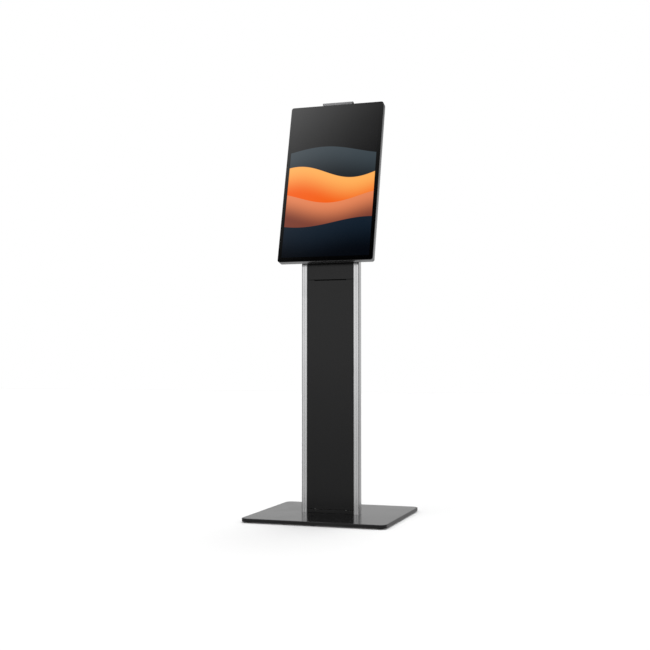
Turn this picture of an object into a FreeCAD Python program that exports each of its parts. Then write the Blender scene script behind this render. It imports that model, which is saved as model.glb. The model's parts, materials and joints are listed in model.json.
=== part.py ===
# Free-standing touchscreen kiosk: floor plate, slim column with two aluminium posts, tilting display head.
# Frame: millimetres, +Z up, floor at z = 0, the screen faces -Y, origin under the middle of the floor plate.
# Head pieces are drawn in the head's own frame: x across, y from the glass back, z up the glass.

import FreeCAD, Part
import math
import os
import re
import Sketcher

Vector = FreeCAD.Vector

cells = {
    # floor plate on rubber pads
    "base_w": 535, "base_d": 495, "base_t": 12, "base_corner": 24, "base_round": 1.5,
    "pad_t": 4, "pad_rad": 12, "pad_inset": 26, "pad_step": 1,
    # column foot with its bolts
    "foot_half": 79, "foot_front": -23.5, "foot_nose": 0.3, "foot_mid": -6.5, "foot_back": 11, "foot_t": 8,
    "foot_wall": 4, "foot_rise": 100,
    "anchor_x": 60, "anchor_front": -15, "anchor_back": 3, "anchor_rad": 4, "anchor_fit": 0.3,
    "anchor_sink": 8.5, "anchor_deep": 5, "anchor_gap": 0.4, "anchor_head": 7.5, "anchor_head_t": 4.5,
    "anchor_top": 38, "anchor_nut": 24, "anchor_nut_t": 6.5,
    # posts
    "col_half": 111, "post_w": 22, "post_d": 30, "post_y": -30, "post_wall": 2, "post_round": 2.5,
    "col_top": 995, "lip_y": -26, "lip_w": 9, "lip_t": 2, "rear_lip_y": -6, "rear_lip_short": 1,
    "groove_half": 0.5, "groove_deep": 0.5,
    # ties between the posts
    "tie_low": 150, "tie_mid": 480, "tie_high": 760, "tie_tall": 30, "tie_y": -20, "tie_t": 3, "tie_reach": -7,
    "tie_screw_y": -12, "tie_screw_low": 8, "tie_screw_high": 22, "tie_screw_rad": 2.4, "tie_screw_bite": 2,
    "tie_head_rad": 4.2, "tie_head_t": 2.4, "screw_fit": 0.1,
    # front panels
    "panel_half": 87.5, "panel_t": 2.5, "panel_y": -28.8, "panel_gap": 0.3, "seam": 1.5, "upper_gap": 1.2,
    "kick_top": 28.7, "pull_z": 875.2, "pull_half": 62, "pull_deep": 2.5, "top_gap": 2,
    "rib_x": 56, "rib_t": 2, "rib_low": 60, "rib_high": 840, "rib_y": -21,
    "magnet_x": 84.5, "magnet_rad": 3.8, "magnet_y": -24, "magnet_t": 3,
    "magnet_low": 120, "magnet_mid": 420, "magnet_high": 820,
    # rear panels and door
    "rear_half": 101, "rear_y": 15, "rear_wall": 2, "rear_round": 2.5, "panel_seat": 0.3, "door_seat": 0.6,
    "door_low": 151.5, "door_top": 949, "slot_t": 3.5, "slot_half": 60, "slots_low": 200, "slots_high": 770,
    "side_slot_left": -80, "side_slot_right": -20, "side_slots": 70,
    "panel_screw_x": 95, "panel_screw_low": 30, "panel_screw_mid": 135, "panel_screw_high": 970,
    "panel_screw_rad": 2.2, "panel_screw_hole": 2.4, "panel_screw_head": 4.2, "panel_screw_head_t": 2,
    # door hinges and lock
    "hinge_x": -106, "hinge_y": 5.2, "hinge_rad": 3.2, "pin_rad": 1.5, "pin_over": 1, "run_fit": 0.05,
    "hinge_low": 230, "hinge_high": 830, "knuckle": 18, "knuckle_gap": 0.4, "hinge_long": 60,
    "leaf_left": -109.5, "leaf_right": -103, "leaf_t": 2, "leaf_gap": 1.8,
    "lock_x": 72, "lock_z": 550, "lock_rad": 9, "lock_back": -5, "lock_flange": 2, "lock_flange_t": 2.5,
    "plug_rad": 6, "plug_back": -6, "plug_neck": 3, "plug_end": -8.6, "key_half": 0.7, "key_long": 3.5,
    "key_deep": 4, "cam_half": 6, "cam_down": 15.5, "cam_up": 7, "cam_front": -6.5,
    # mains inlet, its switch and the power supply
    "inlet_x": 45, "inlet_z": 90, "inlet_half": 23.5, "inlet_tall": 13.5, "inlet_flange": 3.5,
    "inlet_flange_t": 2, "inlet_fit": 0.5, "inlet_front": -8, "socket_front": -3, "socket_left": -21,
    "socket_right": 3, "socket_tall": 8.5, "well_left": 7, "well_right": 21, "well_tall": 11, "well_front": 4,
    "blade_x": -9, "blade_step": 6,
    "blade_half": 1, "blade_tall": 2, "blade_low": 1, "blade_high": 3,
    "rocker_y": 9, "rocker_gap": 0.5, "rocker_front": 7, "rocker_tall": 8.7, "rocker_low": 14.4,
    "rocker_mid": 13.4, "rocker_high": 17.8, "rocker_pin": 1.5, "rocker_pin_gap": 0.1,
    "supply_half": 52, "supply_low": 190, "supply_high": 390, "supply_front": -16, "supply_back": 9,
    "supply_round": 2, "cradle_half": 78, "cradle_rim": 4, "cradle_t": 1, "cradle_side": 2, "cradle_back": 6,
    # leads
    "mains_lead_rad": 3, "display_lead_rad": 3.5, "clip_left": -34, "clip_right": -14, "clip_front": -17,
    "clip_back": -2.5, "clip_wall": 4.2, "clip_floor": 4, "clip_tall": 10, "clip_low": 485, "clip_high": 765,
    "coupler_x": -24, "coupler_y": 27, "coupler_half_w": 9, "coupler_half_d": 8, "coupler_wall": 3,
    "coupler_low": 1136, "coupler_mouth": 1150, "coupler_top": 1160,
    # neck and tilt pivot
    "cap_inset": 0.5, "cap_t": 3, "cap_hole_half": 48, "cap_hole_front": -20, "cap_hole_back": 12.5,
    "mount_low": 885, "mount_top": 985, "mount_front": -23.5, "mount_back": -19,
    "neck_bolt_x": 56, "neck_bolt_low": 905, "neck_bolt_high": 965, "neck_bolt_rad": 3, "neck_bolt_fit": 0.2,
    "neck_nut_rad": 5, "neck_bolt_end": -7.5, "pivot_y": 39.0, "pivot_z": 1212.9,
    "arm_in": 41, "arm_t": 5, "arm_half": 17, "arm_low": 890, "arm_back": 10, "arm_bend": 1003,
    "arm_lean_y": 16.7, "arm_lean_z": 3.2, "arm_flange": 66, "arm_flange_low": 892, "arm_flange_top": 983,
    "arm_flange_back": -15, "bolt_rad": 5, "bolt_fit": 0.1, "bolt_in": 26, "bolt_hex": 9, "bolt_hex_t": 6.5,
    "washer_t": 1.9, "washer_rad": 13, "outer_washer_t": 1.5, "outer_washer_rad": 10, "pivot_nut_t": 7,
    "ear_in": 34, "ear_t": 5, "ear_rad": 16, "ear_root": 22, "ear_draw": 0.3, "ear_reach": 2,
    "shroud_half": 52, "shroud_top": 1165, "shroud_wall": 2, "shroud_round": 4,
    "shroud_foot_front": -24, "shroud_foot_back": 24, "shroud_head_front": 4.6, "shroud_head_back": 58,
    "shroud_draw_front": 2.6, "shroud_draw_back": 2.2,
    # display head
    "tilt": 14.5, "glass_y": -100, "glass_z": 939, "glass_w": 365, "glass_h": 628, "glass_t": 3,
    "glass_corner": 9, "glass_chamfer": 0.6, "gasket_t": 1, "gasket_inset": 0.8, "gasket_w": 4,
    "inner_corner": 5, "frame_inset": 0.3, "frame_back": 26, "frame_wall": 3, "head_back": 33, "skin_t": 2,
    "housing_chamfer": 4.5, "housing_wall": 6, "housing_corner": 4,
    "lcd_half": 172, "lcd_low": 13, "lcd_top": 618, "lcd_gap": 0.2, "lcd_back": 7.7,
    "light_rim": 2, "light_front": 7.8, "light_back": 11.5,
    "chassis_half": 176, "chassis_low": 6, "chassis_top": 622, "chassis_front": 11.7, "chassis_back": 13,
    "vent_left": -132, "vent_w": 4, "vent_low": 40, "vent_low_tall": 20, "vent_high": 520, "vent_high_tall": 50,
    "boss_mid": 300, "boss_half": 50, "boss_rad": 5, "boss_bore": 2.05, "boss_bore_from": 20,
    "edge_x": 168, "edge_first": 22, "edge_second": 220, "edge_third": 410, "edge_fourth": 606,
    "edge_rad": 1.5, "edge_hole": 1.7, "edge_post": 3.5, "edge_from": 22, "edge_head": 3, "edge_head_t": 1.6,
    "vesa_rad": 2, "vesa_hole": 2.2, "vesa_head": 3.8, "vesa_head_t": 2.4,
    # electronics in the head
    "board_half": 90, "board_low": 160, "board_top": 410, "board_front": 17, "board_t": 1.6, "board_clear": 5.4,
    "stand_x": 80, "stand_low": 170, "stand_high": 400, "stand_rad": 3, "chip_t": 2.4,
    "sink_half": 36, "sink_low": 270, "sink_top": 340, "sink_front": 18.7, "sink_floor": 21, "sink_back": 29,
    "fin_t": 1.5, "fin_pitch": 7, "fin_count": 11,
    "port_half": 62, "port_low": 128, "port_top": 152, "port_fit": 0.5, "port_front": 29, "port_face": 30.5,
    "port_back": 32.5, "port_wall": 1, "shell_low": 134, "shell_top": 146, "mouth_in": 1.2, "mouth_front": 29.6,
    "speaker_in": 60, "speaker_out": 140, "speaker_low": 28, "speaker_top": 72, "speaker_front": 13.2,
    "speaker_back": 28, "speaker_round": 5,
    "button_x": -150, "button_z": 250, "button_rad": 4, "button_step": 20, "button_fit": 0.3,
    "button_flange": 1.5, "button_front": 28.8, "button_seat": 30.4, "button_proud": 1.6,
    "switch_front": 23, "switch_half": 9, "switch_over": 10, "switch_rad": 2, "switch_top": 27,
    # bar on the top edge
    "bar_half": 58, "bar_tall": 13.5, "bar_front": 6, "bar_back": 20, "bar_round": 2.5,
    "bar_end": 2, "bar_end_inset": 0.5,
    # tilt bracket
    "bracket_half": 57, "bracket_t": 4, "bracket_round": 6, "pivot_back": 66,
}

document = FreeCAD.newDocument("Kiosk")
sizes = document.addObject("Spreadsheet::Sheet", "Sizes")
for row, (name, value) in enumerate(cells.items(), start=1):
    sizes.set(f"A{row}", name)
    sizes.set(f"B{row}", str(value))
    sizes.setAlias(f"B{row}", name)
document.recompute()

made = []


def bound(text):
    """Write an expression's cell names the way the document reads them."""
    return re.sub(r"[a-z]\w*", lambda word: f"Sizes.{word[0]}" if word[0] in cells else word[0], str(text))


def number(text):
    return float(sizes.evalExpression(bound(text)))


def new_piece(label, place=None):
    """A PartDesign body that becomes the node of that name."""
    piece = document.addObject("PartDesign::Body", label)
    piece.Label = label
    if place is not None:
        piece.Placement = place
    made.append(piece)
    return piece


def head_place():
    """The head leans back about the lower front edge of its glass."""
    lean = FreeCAD.Rotation(Vector(1, 0, 0), -cells["tilt"])
    return FreeCAD.Placement(Vector(0, cells["glass_y"], cells["glass_z"]), lean)


def plane_of(piece, role):
    return next(item for item in piece.Origin.OriginFeatures if item.Role == role)


def pin_point(sketch, shape, end, across, up):
    """Hold one sketch point at two cell expressions."""
    for kind, text in (("DistanceX", across), ("DistanceY", up)):
        index = sketch.addConstraint(Sketcher.Constraint(kind, -1, 1, shape, end, number(text)))
        sketch.setExpression(f"Constraints[{index}]", bound(text))


def draw_polygon(sketch, corners):
    """A closed outline of straight sides through corners given as cell expressions."""
    spots = [Vector(number(across), number(up), 0) for across, up in corners]
    sides = []
    for index, spot in enumerate(spots):
        following = spots[(index + 1) % len(spots)]
        sides.append(sketch.addGeometry(Part.LineSegment(spot, following), False))
    for index, side in enumerate(sides):
        following = sides[(index + 1) % len(sides)]
        sketch.addConstraint(Sketcher.Constraint("Coincident", side, 2, following, 1))
    for side, (across, up) in zip(sides, corners):
        pin_point(sketch, side, 1, across, up)


def draw_circle(sketch, across, up, radius):
    centre = Vector(number(across), number(up), 0)
    circle = sketch.addGeometry(Part.Circle(centre, Vector(0, 0, 1), number(radius)), False)
    index = sketch.addConstraint(Sketcher.Constraint("Radius", circle, number(radius)))
    sketch.setExpression(f"Constraints[{index}]", bound(radius))
    pin_point(sketch, circle, 3, across, up)


def rect(low_across, high_across, low_up, high_up):
    return [(low_across, low_up), (high_across, low_up), (high_across, high_up), (low_across, high_up)]


def centred(across, up, half_across, half_up):
    """A rectangle about a middle point."""
    return rect(f"{across}-({half_across})", f"{across}+({half_across})",
                f"{up}-({half_up})", f"{up}+({half_up})")


def hexagon(across, up, radius):
    """Corners of a nut or bolt head as cell expressions."""
    turns = [math.radians(60 * step) for step in range(6)]
    return [(f"{across}+({radius})*{math.cos(turn):.6f}", f"{up}+({radius})*{math.sin(turn):.6f}")
            for turn in turns]


def circles(spots, radius):
    return [("circle", across, up, radius) for across, up in spots]


def refresh(piece, *items):
    """Work out the new items, then the piece that holds them."""
    for item in (*items, piece):
        item.recompute()
        if "Invalid" in item.State:
            raise ValueError(f"{piece.Label}: {item.Name} failed")


def feature(piece, role, loops, low, high, cut=False):
    """Pad or pocket the loops between two levels along the plane's axis: Z, Y or X."""
    sketch = piece.newObject("Sketcher::SketchObject", "outline")
    sketch.AttachmentSupport = [(plane_of(piece, role), "")]
    sketch.MapMode = "FlatFace"
    for loop in loops:
        if loop[0] == "circle":
            draw_circle(sketch, *loop[1:])
        else:
            draw_polygon(sketch, loop)
    faces_back = role == "XZ_Plane"
    level = {(False, False): low, (False, True): high, (True, False): f"-({high})", (True, True): f"-({low})"}
    sketch.setExpression("AttachmentOffset.Base.z", bound(level[(faces_back, cut)]))
    step = piece.newObject("PartDesign::Pocket" if cut else "PartDesign::Pad", "cut" if cut else "pad")
    step.Profile = sketch
    step.setExpression("Length", bound(f"({high})-({low})"))
    volume = piece.Shape.Volume if cut else 0
    refresh(piece, sketch, step)
    if cut and piece.Shape.Volume >= volume:
        raise ValueError(f"{piece.Label}: a pocket cut nothing")
    return step


def picked_edges(step, pick):
    """Names of a feature's edges whose middle point and direction suit the pick."""
    names = []
    for index, edge in enumerate(step.Shape.Edges, start=1):
        middle = edge.valueAt((edge.FirstParameter + edge.LastParameter) / 2)
        run = edge.tangentAt(edge.FirstParameter)
        if pick(middle, run):
            names.append(f"Edge{index}")
    return names


def soften(piece, kind, size, pick):
    """Fillet or chamfer the picked edges of a piece's last feature."""
    base = piece.Tip
    names = picked_edges(base, pick)
    if not names:
        raise ValueError(f"{piece.Label}: no edge to soften")
    step = piece.newObject(f"PartDesign::{kind}", kind.lower())
    step.Base = (base, names)
    step.setExpression("Radius" if kind == "Fillet" else "Size", bound(size))
    refresh(piece, step)


def runs_along(axis):
    return lambda middle, run: abs(run.dot(axis)) > 0.999


def stepped(label, role, spots, layers, place=None):
    """Round pieces at each spot, built of layers of (radius, low, high)."""
    piece = new_piece(label, place)
    for radius, low, high in layers:
        feature(piece, role, circles(spots, radius), low, high)
    return piece


def side_span(sign, low, high):
    """Two levels on one side of the middle, the lower first."""
    return sorted((f"{sign}({low})", f"{sign}({high})"), key=number)


def both_sides(reach, levels):
    return [(f"{sign}{reach}", level) for sign in signs for level in levels]


Y_AXIS = Vector(0, 1, 0)
Z_AXIS = Vector(0, 0, 1)
signs = ("-", "")
floor_top = "pad_t+base_t"
post_inner = "col_half-post_w"
panel_back = "panel_y+panel_t"
anchors = [(f"{sign}anchor_x", row) for row in ("anchor_front", "anchor_back") for sign in signs]
vesa_spots = [(f"{sign}boss_half", f"boss_mid{end}boss_half") for sign in signs for end in ("-", "+")]
pivot = ("circle", "pivot_y", "pivot_z")


def make_base():
    plate = new_piece("base_plate")
    feature(plate, "XY_Plane", [centred("0", "0", "base_w/2", "base_d/2")], "pad_t", floor_top)
    soften(plate, "Fillet", "base_corner", runs_along(Z_AXIS))
    top = number(floor_top)
    soften(plate, "Fillet", "base_round", lambda middle, run: abs(middle.z - top) < 0.01)
    holes = circles(anchors, "anchor_rad+anchor_fit")
    feature(plate, "XY_Plane", holes, "pad_t", floor_top, cut=True)
    feature(plate, "XY_Plane", circles(anchors, "anchor_sink"), "pad_t", "pad_t+anchor_deep", cut=True)

    side, rim = "base_w/2-pad_inset", "base_d/2-pad_inset"
    spots = [(f"{sign}({side})", f"{end}({rim})") for sign in signs for end in signs]
    spots += [("0", f"-({rim})"), ("0", rim)]
    stepped("base_pads", "XY_Plane", spots,
            [("pad_rad-pad_step", "0", "pad_step"), ("pad_rad", "pad_step", "pad_t")])

    foot = new_piece("column_foot")
    plate_top = f"{floor_top}+foot_t"
    right = [("foot_half", "foot_front-foot_nose"), ("foot_half", "foot_front"), (post_inner, "foot_front"),
             (post_inner, "foot_mid"), ("foot_half", "foot_mid"), ("foot_half", "foot_back")]
    left = [(f"-({x})", y) for x, y in reversed(right)]
    feature(foot, "XY_Plane", [right + left], floor_top, plate_top)
    for sign in signs:
        tab = rect(*side_span(sign, f"{post_inner}-foot_wall", post_inner), "foot_front", "foot_mid")
        feature(foot, "XY_Plane", [tab], floor_top, "foot_rise")
    feature(foot, "XY_Plane", holes, floor_top, plate_top, cut=True)

    head_low = "pad_t+anchor_gap"
    head_top = f"{head_low}+anchor_head_t"
    stepped("foot_bolts", "XY_Plane", anchors, [("anchor_head", head_low, head_top),
                                                ("anchor_rad", head_top, "anchor_top")])
    nuts = new_piece("foot_nuts")
    levels = ("anchor_nut", "anchor_nut+anchor_nut_t")
    feature(nuts, "XY_Plane", [hexagon(*spot, "anchor_head") for spot in anchors], *levels)
    feature(nuts, "XY_Plane", circles(anchors, "anchor_rad+run_fit"), *levels, cut=True)


def make_posts():
    lip, back = f"{post_inner}-lip_w", "post_y+post_d"
    rear_tip, lip_back = f"{lip}+rear_lip_short", "lip_y+lip_t"
    profile = [("col_half", "post_y"), ("col_half", back), (post_inner, back), (post_inner, "rear_lip_y+lip_t"),
               (rear_tip, "rear_lip_y+lip_t"), (rear_tip, "rear_lip_y"), (post_inner, "rear_lip_y"),
               (post_inner, lip_back), (lip, lip_back), (lip, "lip_y"), (post_inner, "lip_y"),
               (post_inner, "post_y")]
    outer = cells["col_half"]
    middle_x = "col_half-post_w/2"
    for label, sign in zip(("left_post", "right_post"), signs):
        post = new_piece(label)
        feature(post, "XY_Plane", [[(f"{sign}({x})", y) for x, y in profile]], floor_top, "col_top")
        soften(post, "Fillet", "post_round",
               lambda middle, run: abs(abs(middle.x) - outer) < 0.01 and abs(run.z) > 0.99)
        hollow = rect(*side_span(sign, f"{post_inner}+post_wall", "col_half-post_wall"),
                      "post_y+post_wall", f"{back}-post_wall")
        feature(post, "XY_Plane", [hollow], floor_top, "col_top", cut=True)
        groove = rect(*side_span(sign, f"{middle_x}-groove_half", f"{middle_x}+groove_half"),
                      "post_y", "post_y+groove_deep")
        feature(post, "XY_Plane", [groove], floor_top, "col_top", cut=True)


def make_ties():
    levels = ("tie_low", "tie_mid", "tie_high")
    ties = new_piece("post_ties")
    bars = [rect(f"-({post_inner})", post_inner, level, f"{level}+tie_tall") for level in levels]
    feature(ties, "XZ_Plane", bars, "tie_y", "tie_y+tie_t")
    for sign in signs:
        span = side_span(sign, f"{post_inner}-tie_t", post_inner)
        flanges = [rect(*span, level, f"{level}+tie_tall") for level in levels]
        feature(ties, "XZ_Plane", flanges, "tie_y", "tie_reach")
    rises = ("tie_screw_low", "tie_screw_high")
    points = [("tie_screw_y", f"{level}+{rise}") for level in levels for rise in rises]
    bores = circles(points, "tie_screw_rad+screw_fit")
    feature(ties, "YZ_Plane", bores, f"-({post_inner})", post_inner, cut=True)

    screws = new_piece("tie_screws")
    for sign in signs:
        shank = side_span(sign, f"{post_inner}-tie_t", f"{post_inner}+tie_screw_bite")
        head = side_span(sign, f"{post_inner}-tie_t-tie_head_t", f"{post_inner}-tie_t")
        feature(screws, "YZ_Plane", circles(points, "tie_screw_rad"), *shank)
        feature(screws, "YZ_Plane", circles(points, "tie_head_rad"), *head)
    stepped("panel_magnets", "XZ_Plane", both_sides("magnet_x", ("magnet_low", "magnet_mid", "magnet_high")),
            [("magnet_rad", "magnet_y", "magnet_y+magnet_t")])


def make_front():
    sheet = ("panel_y", panel_back)
    kick = new_piece("kick_strip")
    feature(kick, "XZ_Plane", [rect("-panel_half", "panel_half", f"{floor_top}+panel_gap", "kick_top")], *sheet)
    lower = new_piece("lower_front_panel")
    feature(lower, "XZ_Plane", [rect("-panel_half", "panel_half", "kick_top+seam", "pull_z")], *sheet)
    finger_slot = rect("-pull_half", "pull_half", "pull_z-pull_deep", "pull_z")
    feature(lower, "XZ_Plane", [finger_slot], *sheet, cut=True)
    ribs = [rect(*side_span(sign, "rib_x", "rib_x+rib_t"), "rib_low", "rib_high") for sign in signs]
    feature(lower, "XZ_Plane", ribs, panel_back, "rib_y")
    upper = new_piece("upper_front_panel")
    outline = rect("-panel_half", "panel_half", "pull_z+upper_gap", "col_top-top_gap")
    feature(upper, "XZ_Plane", [outline], *sheet)


def tray(label, low, high, front, low_lip, high_lip):
    """A shallow sheet-metal lid, open towards the column, with a turned-in edge where a lip is given."""
    piece = new_piece(label)
    back = cells["rear_y"]
    feature(piece, "XZ_Plane", [rect("-rear_half", "rear_half", low, high)], front, "rear_y")
    soften(piece, "Fillet", "rear_round", lambda middle, run: abs(run.z) > 0.99 and middle.y > back - 0.01)
    inside = rect("-rear_half+rear_wall", "rear_half-rear_wall", f"{low}+{low_lip}", f"{high}-({high_lip})")
    feature(piece, "XZ_Plane", [inside], front, "rear_y-rear_wall", cut=True)
    return piece


def slot_row(piece, first, wall, run, count, pitch):
    """Cut one slot through a wall and repeat it along the sketch's H_Axis or V_Axis."""
    slot = feature(piece, "XZ_Plane", [first], *wall, cut=True)
    row = piece.newObject("PartDesign::LinearPattern", "row")
    row.Originals = [slot]
    row.Direction = (slot.Profile[0], [run])
    row.Occurrences = count
    row.Length = pitch * (count - 1)
    piece.Tip = row
    volume = slot.Shape.Volume
    refresh(piece, row)
    if piece.Shape.Volume >= volume:
        raise ValueError(f"{piece.Label}: a row cut nothing")


def make_rear():
    wall = ("rear_y-rear_wall", "rear_y")
    pitch, low_count, door_count = 9, 6, 7
    lower = tray("rear_lower_panel", f"{floor_top}+panel_gap", "door_low-seam", "panel_seat", "0", "rear_wall")
    opening = centred("inlet_x", "inlet_z", "inlet_half+inlet_fit", "inlet_tall+inlet_fit")
    feature(lower, "XZ_Plane", [opening], *wall, cut=True)
    first = rect("side_slot_left", "side_slot_right", "side_slots", "side_slots+slot_t")
    slot_row(lower, first, wall, "V_Axis", low_count, pitch)

    door = tray("rear_door", "door_low", "door_top", "door_seat", "rear_wall", "0")
    feature(door, "XZ_Plane", [("circle", "lock_x", "lock_z", "lock_rad")], *wall, cut=True)
    for level in ("slots_low", "slots_high"):
        first = rect("-slot_half", "slot_half", level, f"{level}+slot_t")
        slot_row(door, first, wall, "V_Axis", door_count, pitch)

    upper = tray("rear_upper_panel", "door_top+seam", "col_top-top_gap", "panel_seat", "0", "0")
    low_spots = both_sides("panel_screw_x", ("panel_screw_low", "panel_screw_mid"))
    high_spots = both_sides("panel_screw_x", ("panel_screw_high",))
    for piece, spots in ((lower, low_spots), (upper, high_spots)):
        feature(piece, "XZ_Plane", circles(spots, "panel_screw_hole"), *wall, cut=True)
    stepped("rear_screws", "XZ_Plane", low_spots + high_spots,
            [("panel_screw_rad", "-rear_wall", "rear_y"),
             ("panel_screw_head", "rear_y", "rear_y+panel_screw_head_t")])


def make_hinges():
    """Two three-knuckle hinges: the outer knuckles on the post, the middle one on the door."""
    fixed = new_piece("hinge_fixed_leaves")
    swing = new_piece("hinge_door_leaves")
    levels = ("hinge_low", "hinge_high")
    axis = ("circle", "hinge_x", "hinge_y")
    low_end, high_start = "knuckle", "hinge_long-knuckle"
    middle = ("knuckle+knuckle_gap", "hinge_long-knuckle-knuckle_gap")
    plate = rect("leaf_left", "leaf_right", "post_y+post_d", "hinge_y-leaf_gap")
    wing = rect("hinge_x+leaf_t", "-rear_half", "hinge_y+door_seat", "hinge_y+door_seat+leaf_t")
    for level in levels:
        for low, high in (("0", low_end), (high_start, "hinge_long")):
            feature(fixed, "XY_Plane", [axis + ("hinge_rad",)], f"{level}+{low}", f"{level}+{high}")
            feature(fixed, "XY_Plane", [plate], f"{level}+{low}", f"{level}+{high}")
        span = [f"{level}+{end}" for end in middle]
        feature(swing, "XY_Plane", [axis + ("hinge_rad",)], *span)
        feature(swing, "XY_Plane", [wing], *span)
    bore = axis + ("pin_rad+run_fit",)
    for leaves in (fixed, swing):
        feature(leaves, "XY_Plane", [bore], "hinge_low", "hinge_high+hinge_long", cut=True)
    pins = new_piece("hinge_pins")
    for level in levels:
        feature(pins, "XY_Plane", [axis + ("pin_rad",)], f"{level}-pin_over", f"{level}+hinge_long+pin_over")


def make_lock():
    centre = ("lock_x", "lock_z")
    face = "rear_y+lock_flange_t"
    barrel = stepped("lock_barrel", "XZ_Plane", [centre],
                     [("lock_rad", "lock_back", "rear_y"), ("lock_rad+lock_flange", "rear_y", face)])
    feature(barrel, "XZ_Plane", circles([centre], "plug_rad+run_fit"), "lock_back", face, cut=True)
    plug = stepped("lock_plug", "XZ_Plane", [centre],
                   [("plug_rad", "plug_back", "rear_y+rear_wall"), ("plug_neck", "plug_end", "plug_back")])
    keyway = centred(*centre, "key_half", "key_long")
    feature(plug, "XZ_Plane", [keyway], "rear_y-key_deep", "rear_y+rear_wall", cut=True)
    cam = new_piece("lock_cam")
    blank = rect("lock_x-cam_half", "lock_x+cam_half", "lock_z-cam_down", "lock_z+cam_up")
    feature(cam, "XZ_Plane", [blank], "plug_end", "cam_front")
    feature(cam, "XZ_Plane", circles([centre], "plug_neck"), "plug_end", "cam_front", cut=True)


def make_power():
    centre = ("inlet_x", "inlet_z")
    face = "rear_y+inlet_flange_t"
    inlet = new_piece("mains_inlet")
    flange = centred(*centre, "inlet_half+inlet_flange", "inlet_tall+inlet_flange")
    feature(inlet, "XZ_Plane", [flange], "rear_y", face)
    feature(inlet, "XZ_Plane", [centred(*centre, "inlet_half", "inlet_tall")], "inlet_front", "rear_y")
    socket = rect("inlet_x+socket_left", "inlet_x+socket_right", "inlet_z-socket_tall", "inlet_z+socket_tall")
    feature(inlet, "XZ_Plane", [socket], "socket_front", face, cut=True)
    well = rect("inlet_x+well_left", "inlet_x+well_right", "inlet_z-well_tall", "inlet_z+well_tall")
    feature(inlet, "XZ_Plane", [well], "well_front", face, cut=True)
    blade_spots = [("-blade_step", "blade_low"), ("0", "blade_high"), ("blade_step", "blade_low")]
    blades = [centred(f"inlet_x+blade_x+({x})", f"inlet_z+{rise}", "blade_half", "blade_tall")
              for x, rise in blade_spots]
    feature(inlet, "XZ_Plane", blades, "socket_front", "rear_y-rear_wall")

    rocker = new_piece("mains_rocker")
    low, high = "inlet_z-rocker_tall", "inlet_z+rocker_tall"
    side = [("rocker_front", low), ("rocker_low", low), ("rocker_mid", "inlet_z"), ("rocker_high", high),
            ("rocker_front", high)]
    feature(rocker, "YZ_Plane", [side], "inlet_x+well_left+rocker_gap", "inlet_x+well_right-rocker_gap")
    feature(rocker, "YZ_Plane", [("circle", "rocker_y", "inlet_z", "rocker_pin")],
            "inlet_x+well_left+rocker_pin_gap", "inlet_x+well_right-rocker_pin_gap")

    supply = new_piece("power_supply")
    case = rect("-supply_half", "supply_half", "supply_low", "supply_high")
    feature(supply, "XZ_Plane", [case], "supply_front", "supply_back")
    soften(supply, "Fillet", "supply_round", runs_along(Y_AXIS))
    cradle = new_piece("supply_bracket")
    levels = ("supply_low-cradle_rim", "supply_high+cradle_rim")
    back = rect("-cradle_half", "cradle_half", *levels)
    feature(cradle, "XZ_Plane", [back], "supply_front-cradle_t", "supply_front")
    sides = [rect(*side_span(sign, "cradle_half-cradle_side", "cradle_half"), *levels) for sign in signs]
    feature(cradle, "XZ_Plane", sides, "supply_front", "cradle_back")


def lead_path(points):
    """Straight runs joined by tangent arcs, each as large as its two runs allow."""
    edges = []
    start = points[0]
    for before, corner, after in zip(points, points[1:], points[2:]):
        back, ahead = before - corner, after - corner
        shorter = min(back.Length, ahead.Length)
        back.normalize()
        ahead.normalize()
        turn = math.pi - back.getAngle(ahead)
        trim = 0.45 * shorter
        radius = trim / math.tan(turn / 2)
        print(f"lead bend radius {radius:.1f}")
        first, last = corner + back * trim, corner + ahead * trim
        towards = (back + ahead).normalize()
        centre = corner + towards * math.hypot(trim, radius)
        middle = centre - towards * radius
        edges.append(Part.LineSegment(start, first).toShape())
        edges.append(Part.Arc(first, middle, last).toShape())
        start = last
    edges.append(Part.LineSegment(start, points[-1]).toShape())
    return Part.Wire(edges)


def make_lead(label, points, radius):
    """A round clipped cable along its route."""
    path = lead_path([Vector(*point) for point in points])
    tip = Vector(*points[1]) - Vector(*points[0])
    end = Part.Wire(Part.Circle(Vector(*points[0]), tip, radius).toShape())
    tube = path.makePipeShell([end], True, False)
    piece = document.addObject("Part::Feature", label)
    piece.Label = label
    piece.Shape = tube
    expected = math.pi * radius ** 2 * path.Length
    print(f"{label}: length {path.Length:.0f}, volume ratio {tube.Volume / expected:.4f}")
    made.append(piece)


mains_route = [(45, -4, 103.5), (45, -4, 121), (39, -6, 143), (29, -9, 165), (26, -8, 190)]
display_route = [(-30, -6, 390), (-30, -6, 420), (-24, -7, 470), (-26, -8, 530), (-22, -8, 590), (-25, -8, 650),
                 (-22, -8, 710), (-25, -8, 770), (-22, -8, 830), (-24, -6, 890), (-24, -3, 945), (-24, 2, 1000),
                 (-25, 11, 1050), (-24, 20, 1095), (-24, 27, 1135)]


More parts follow.
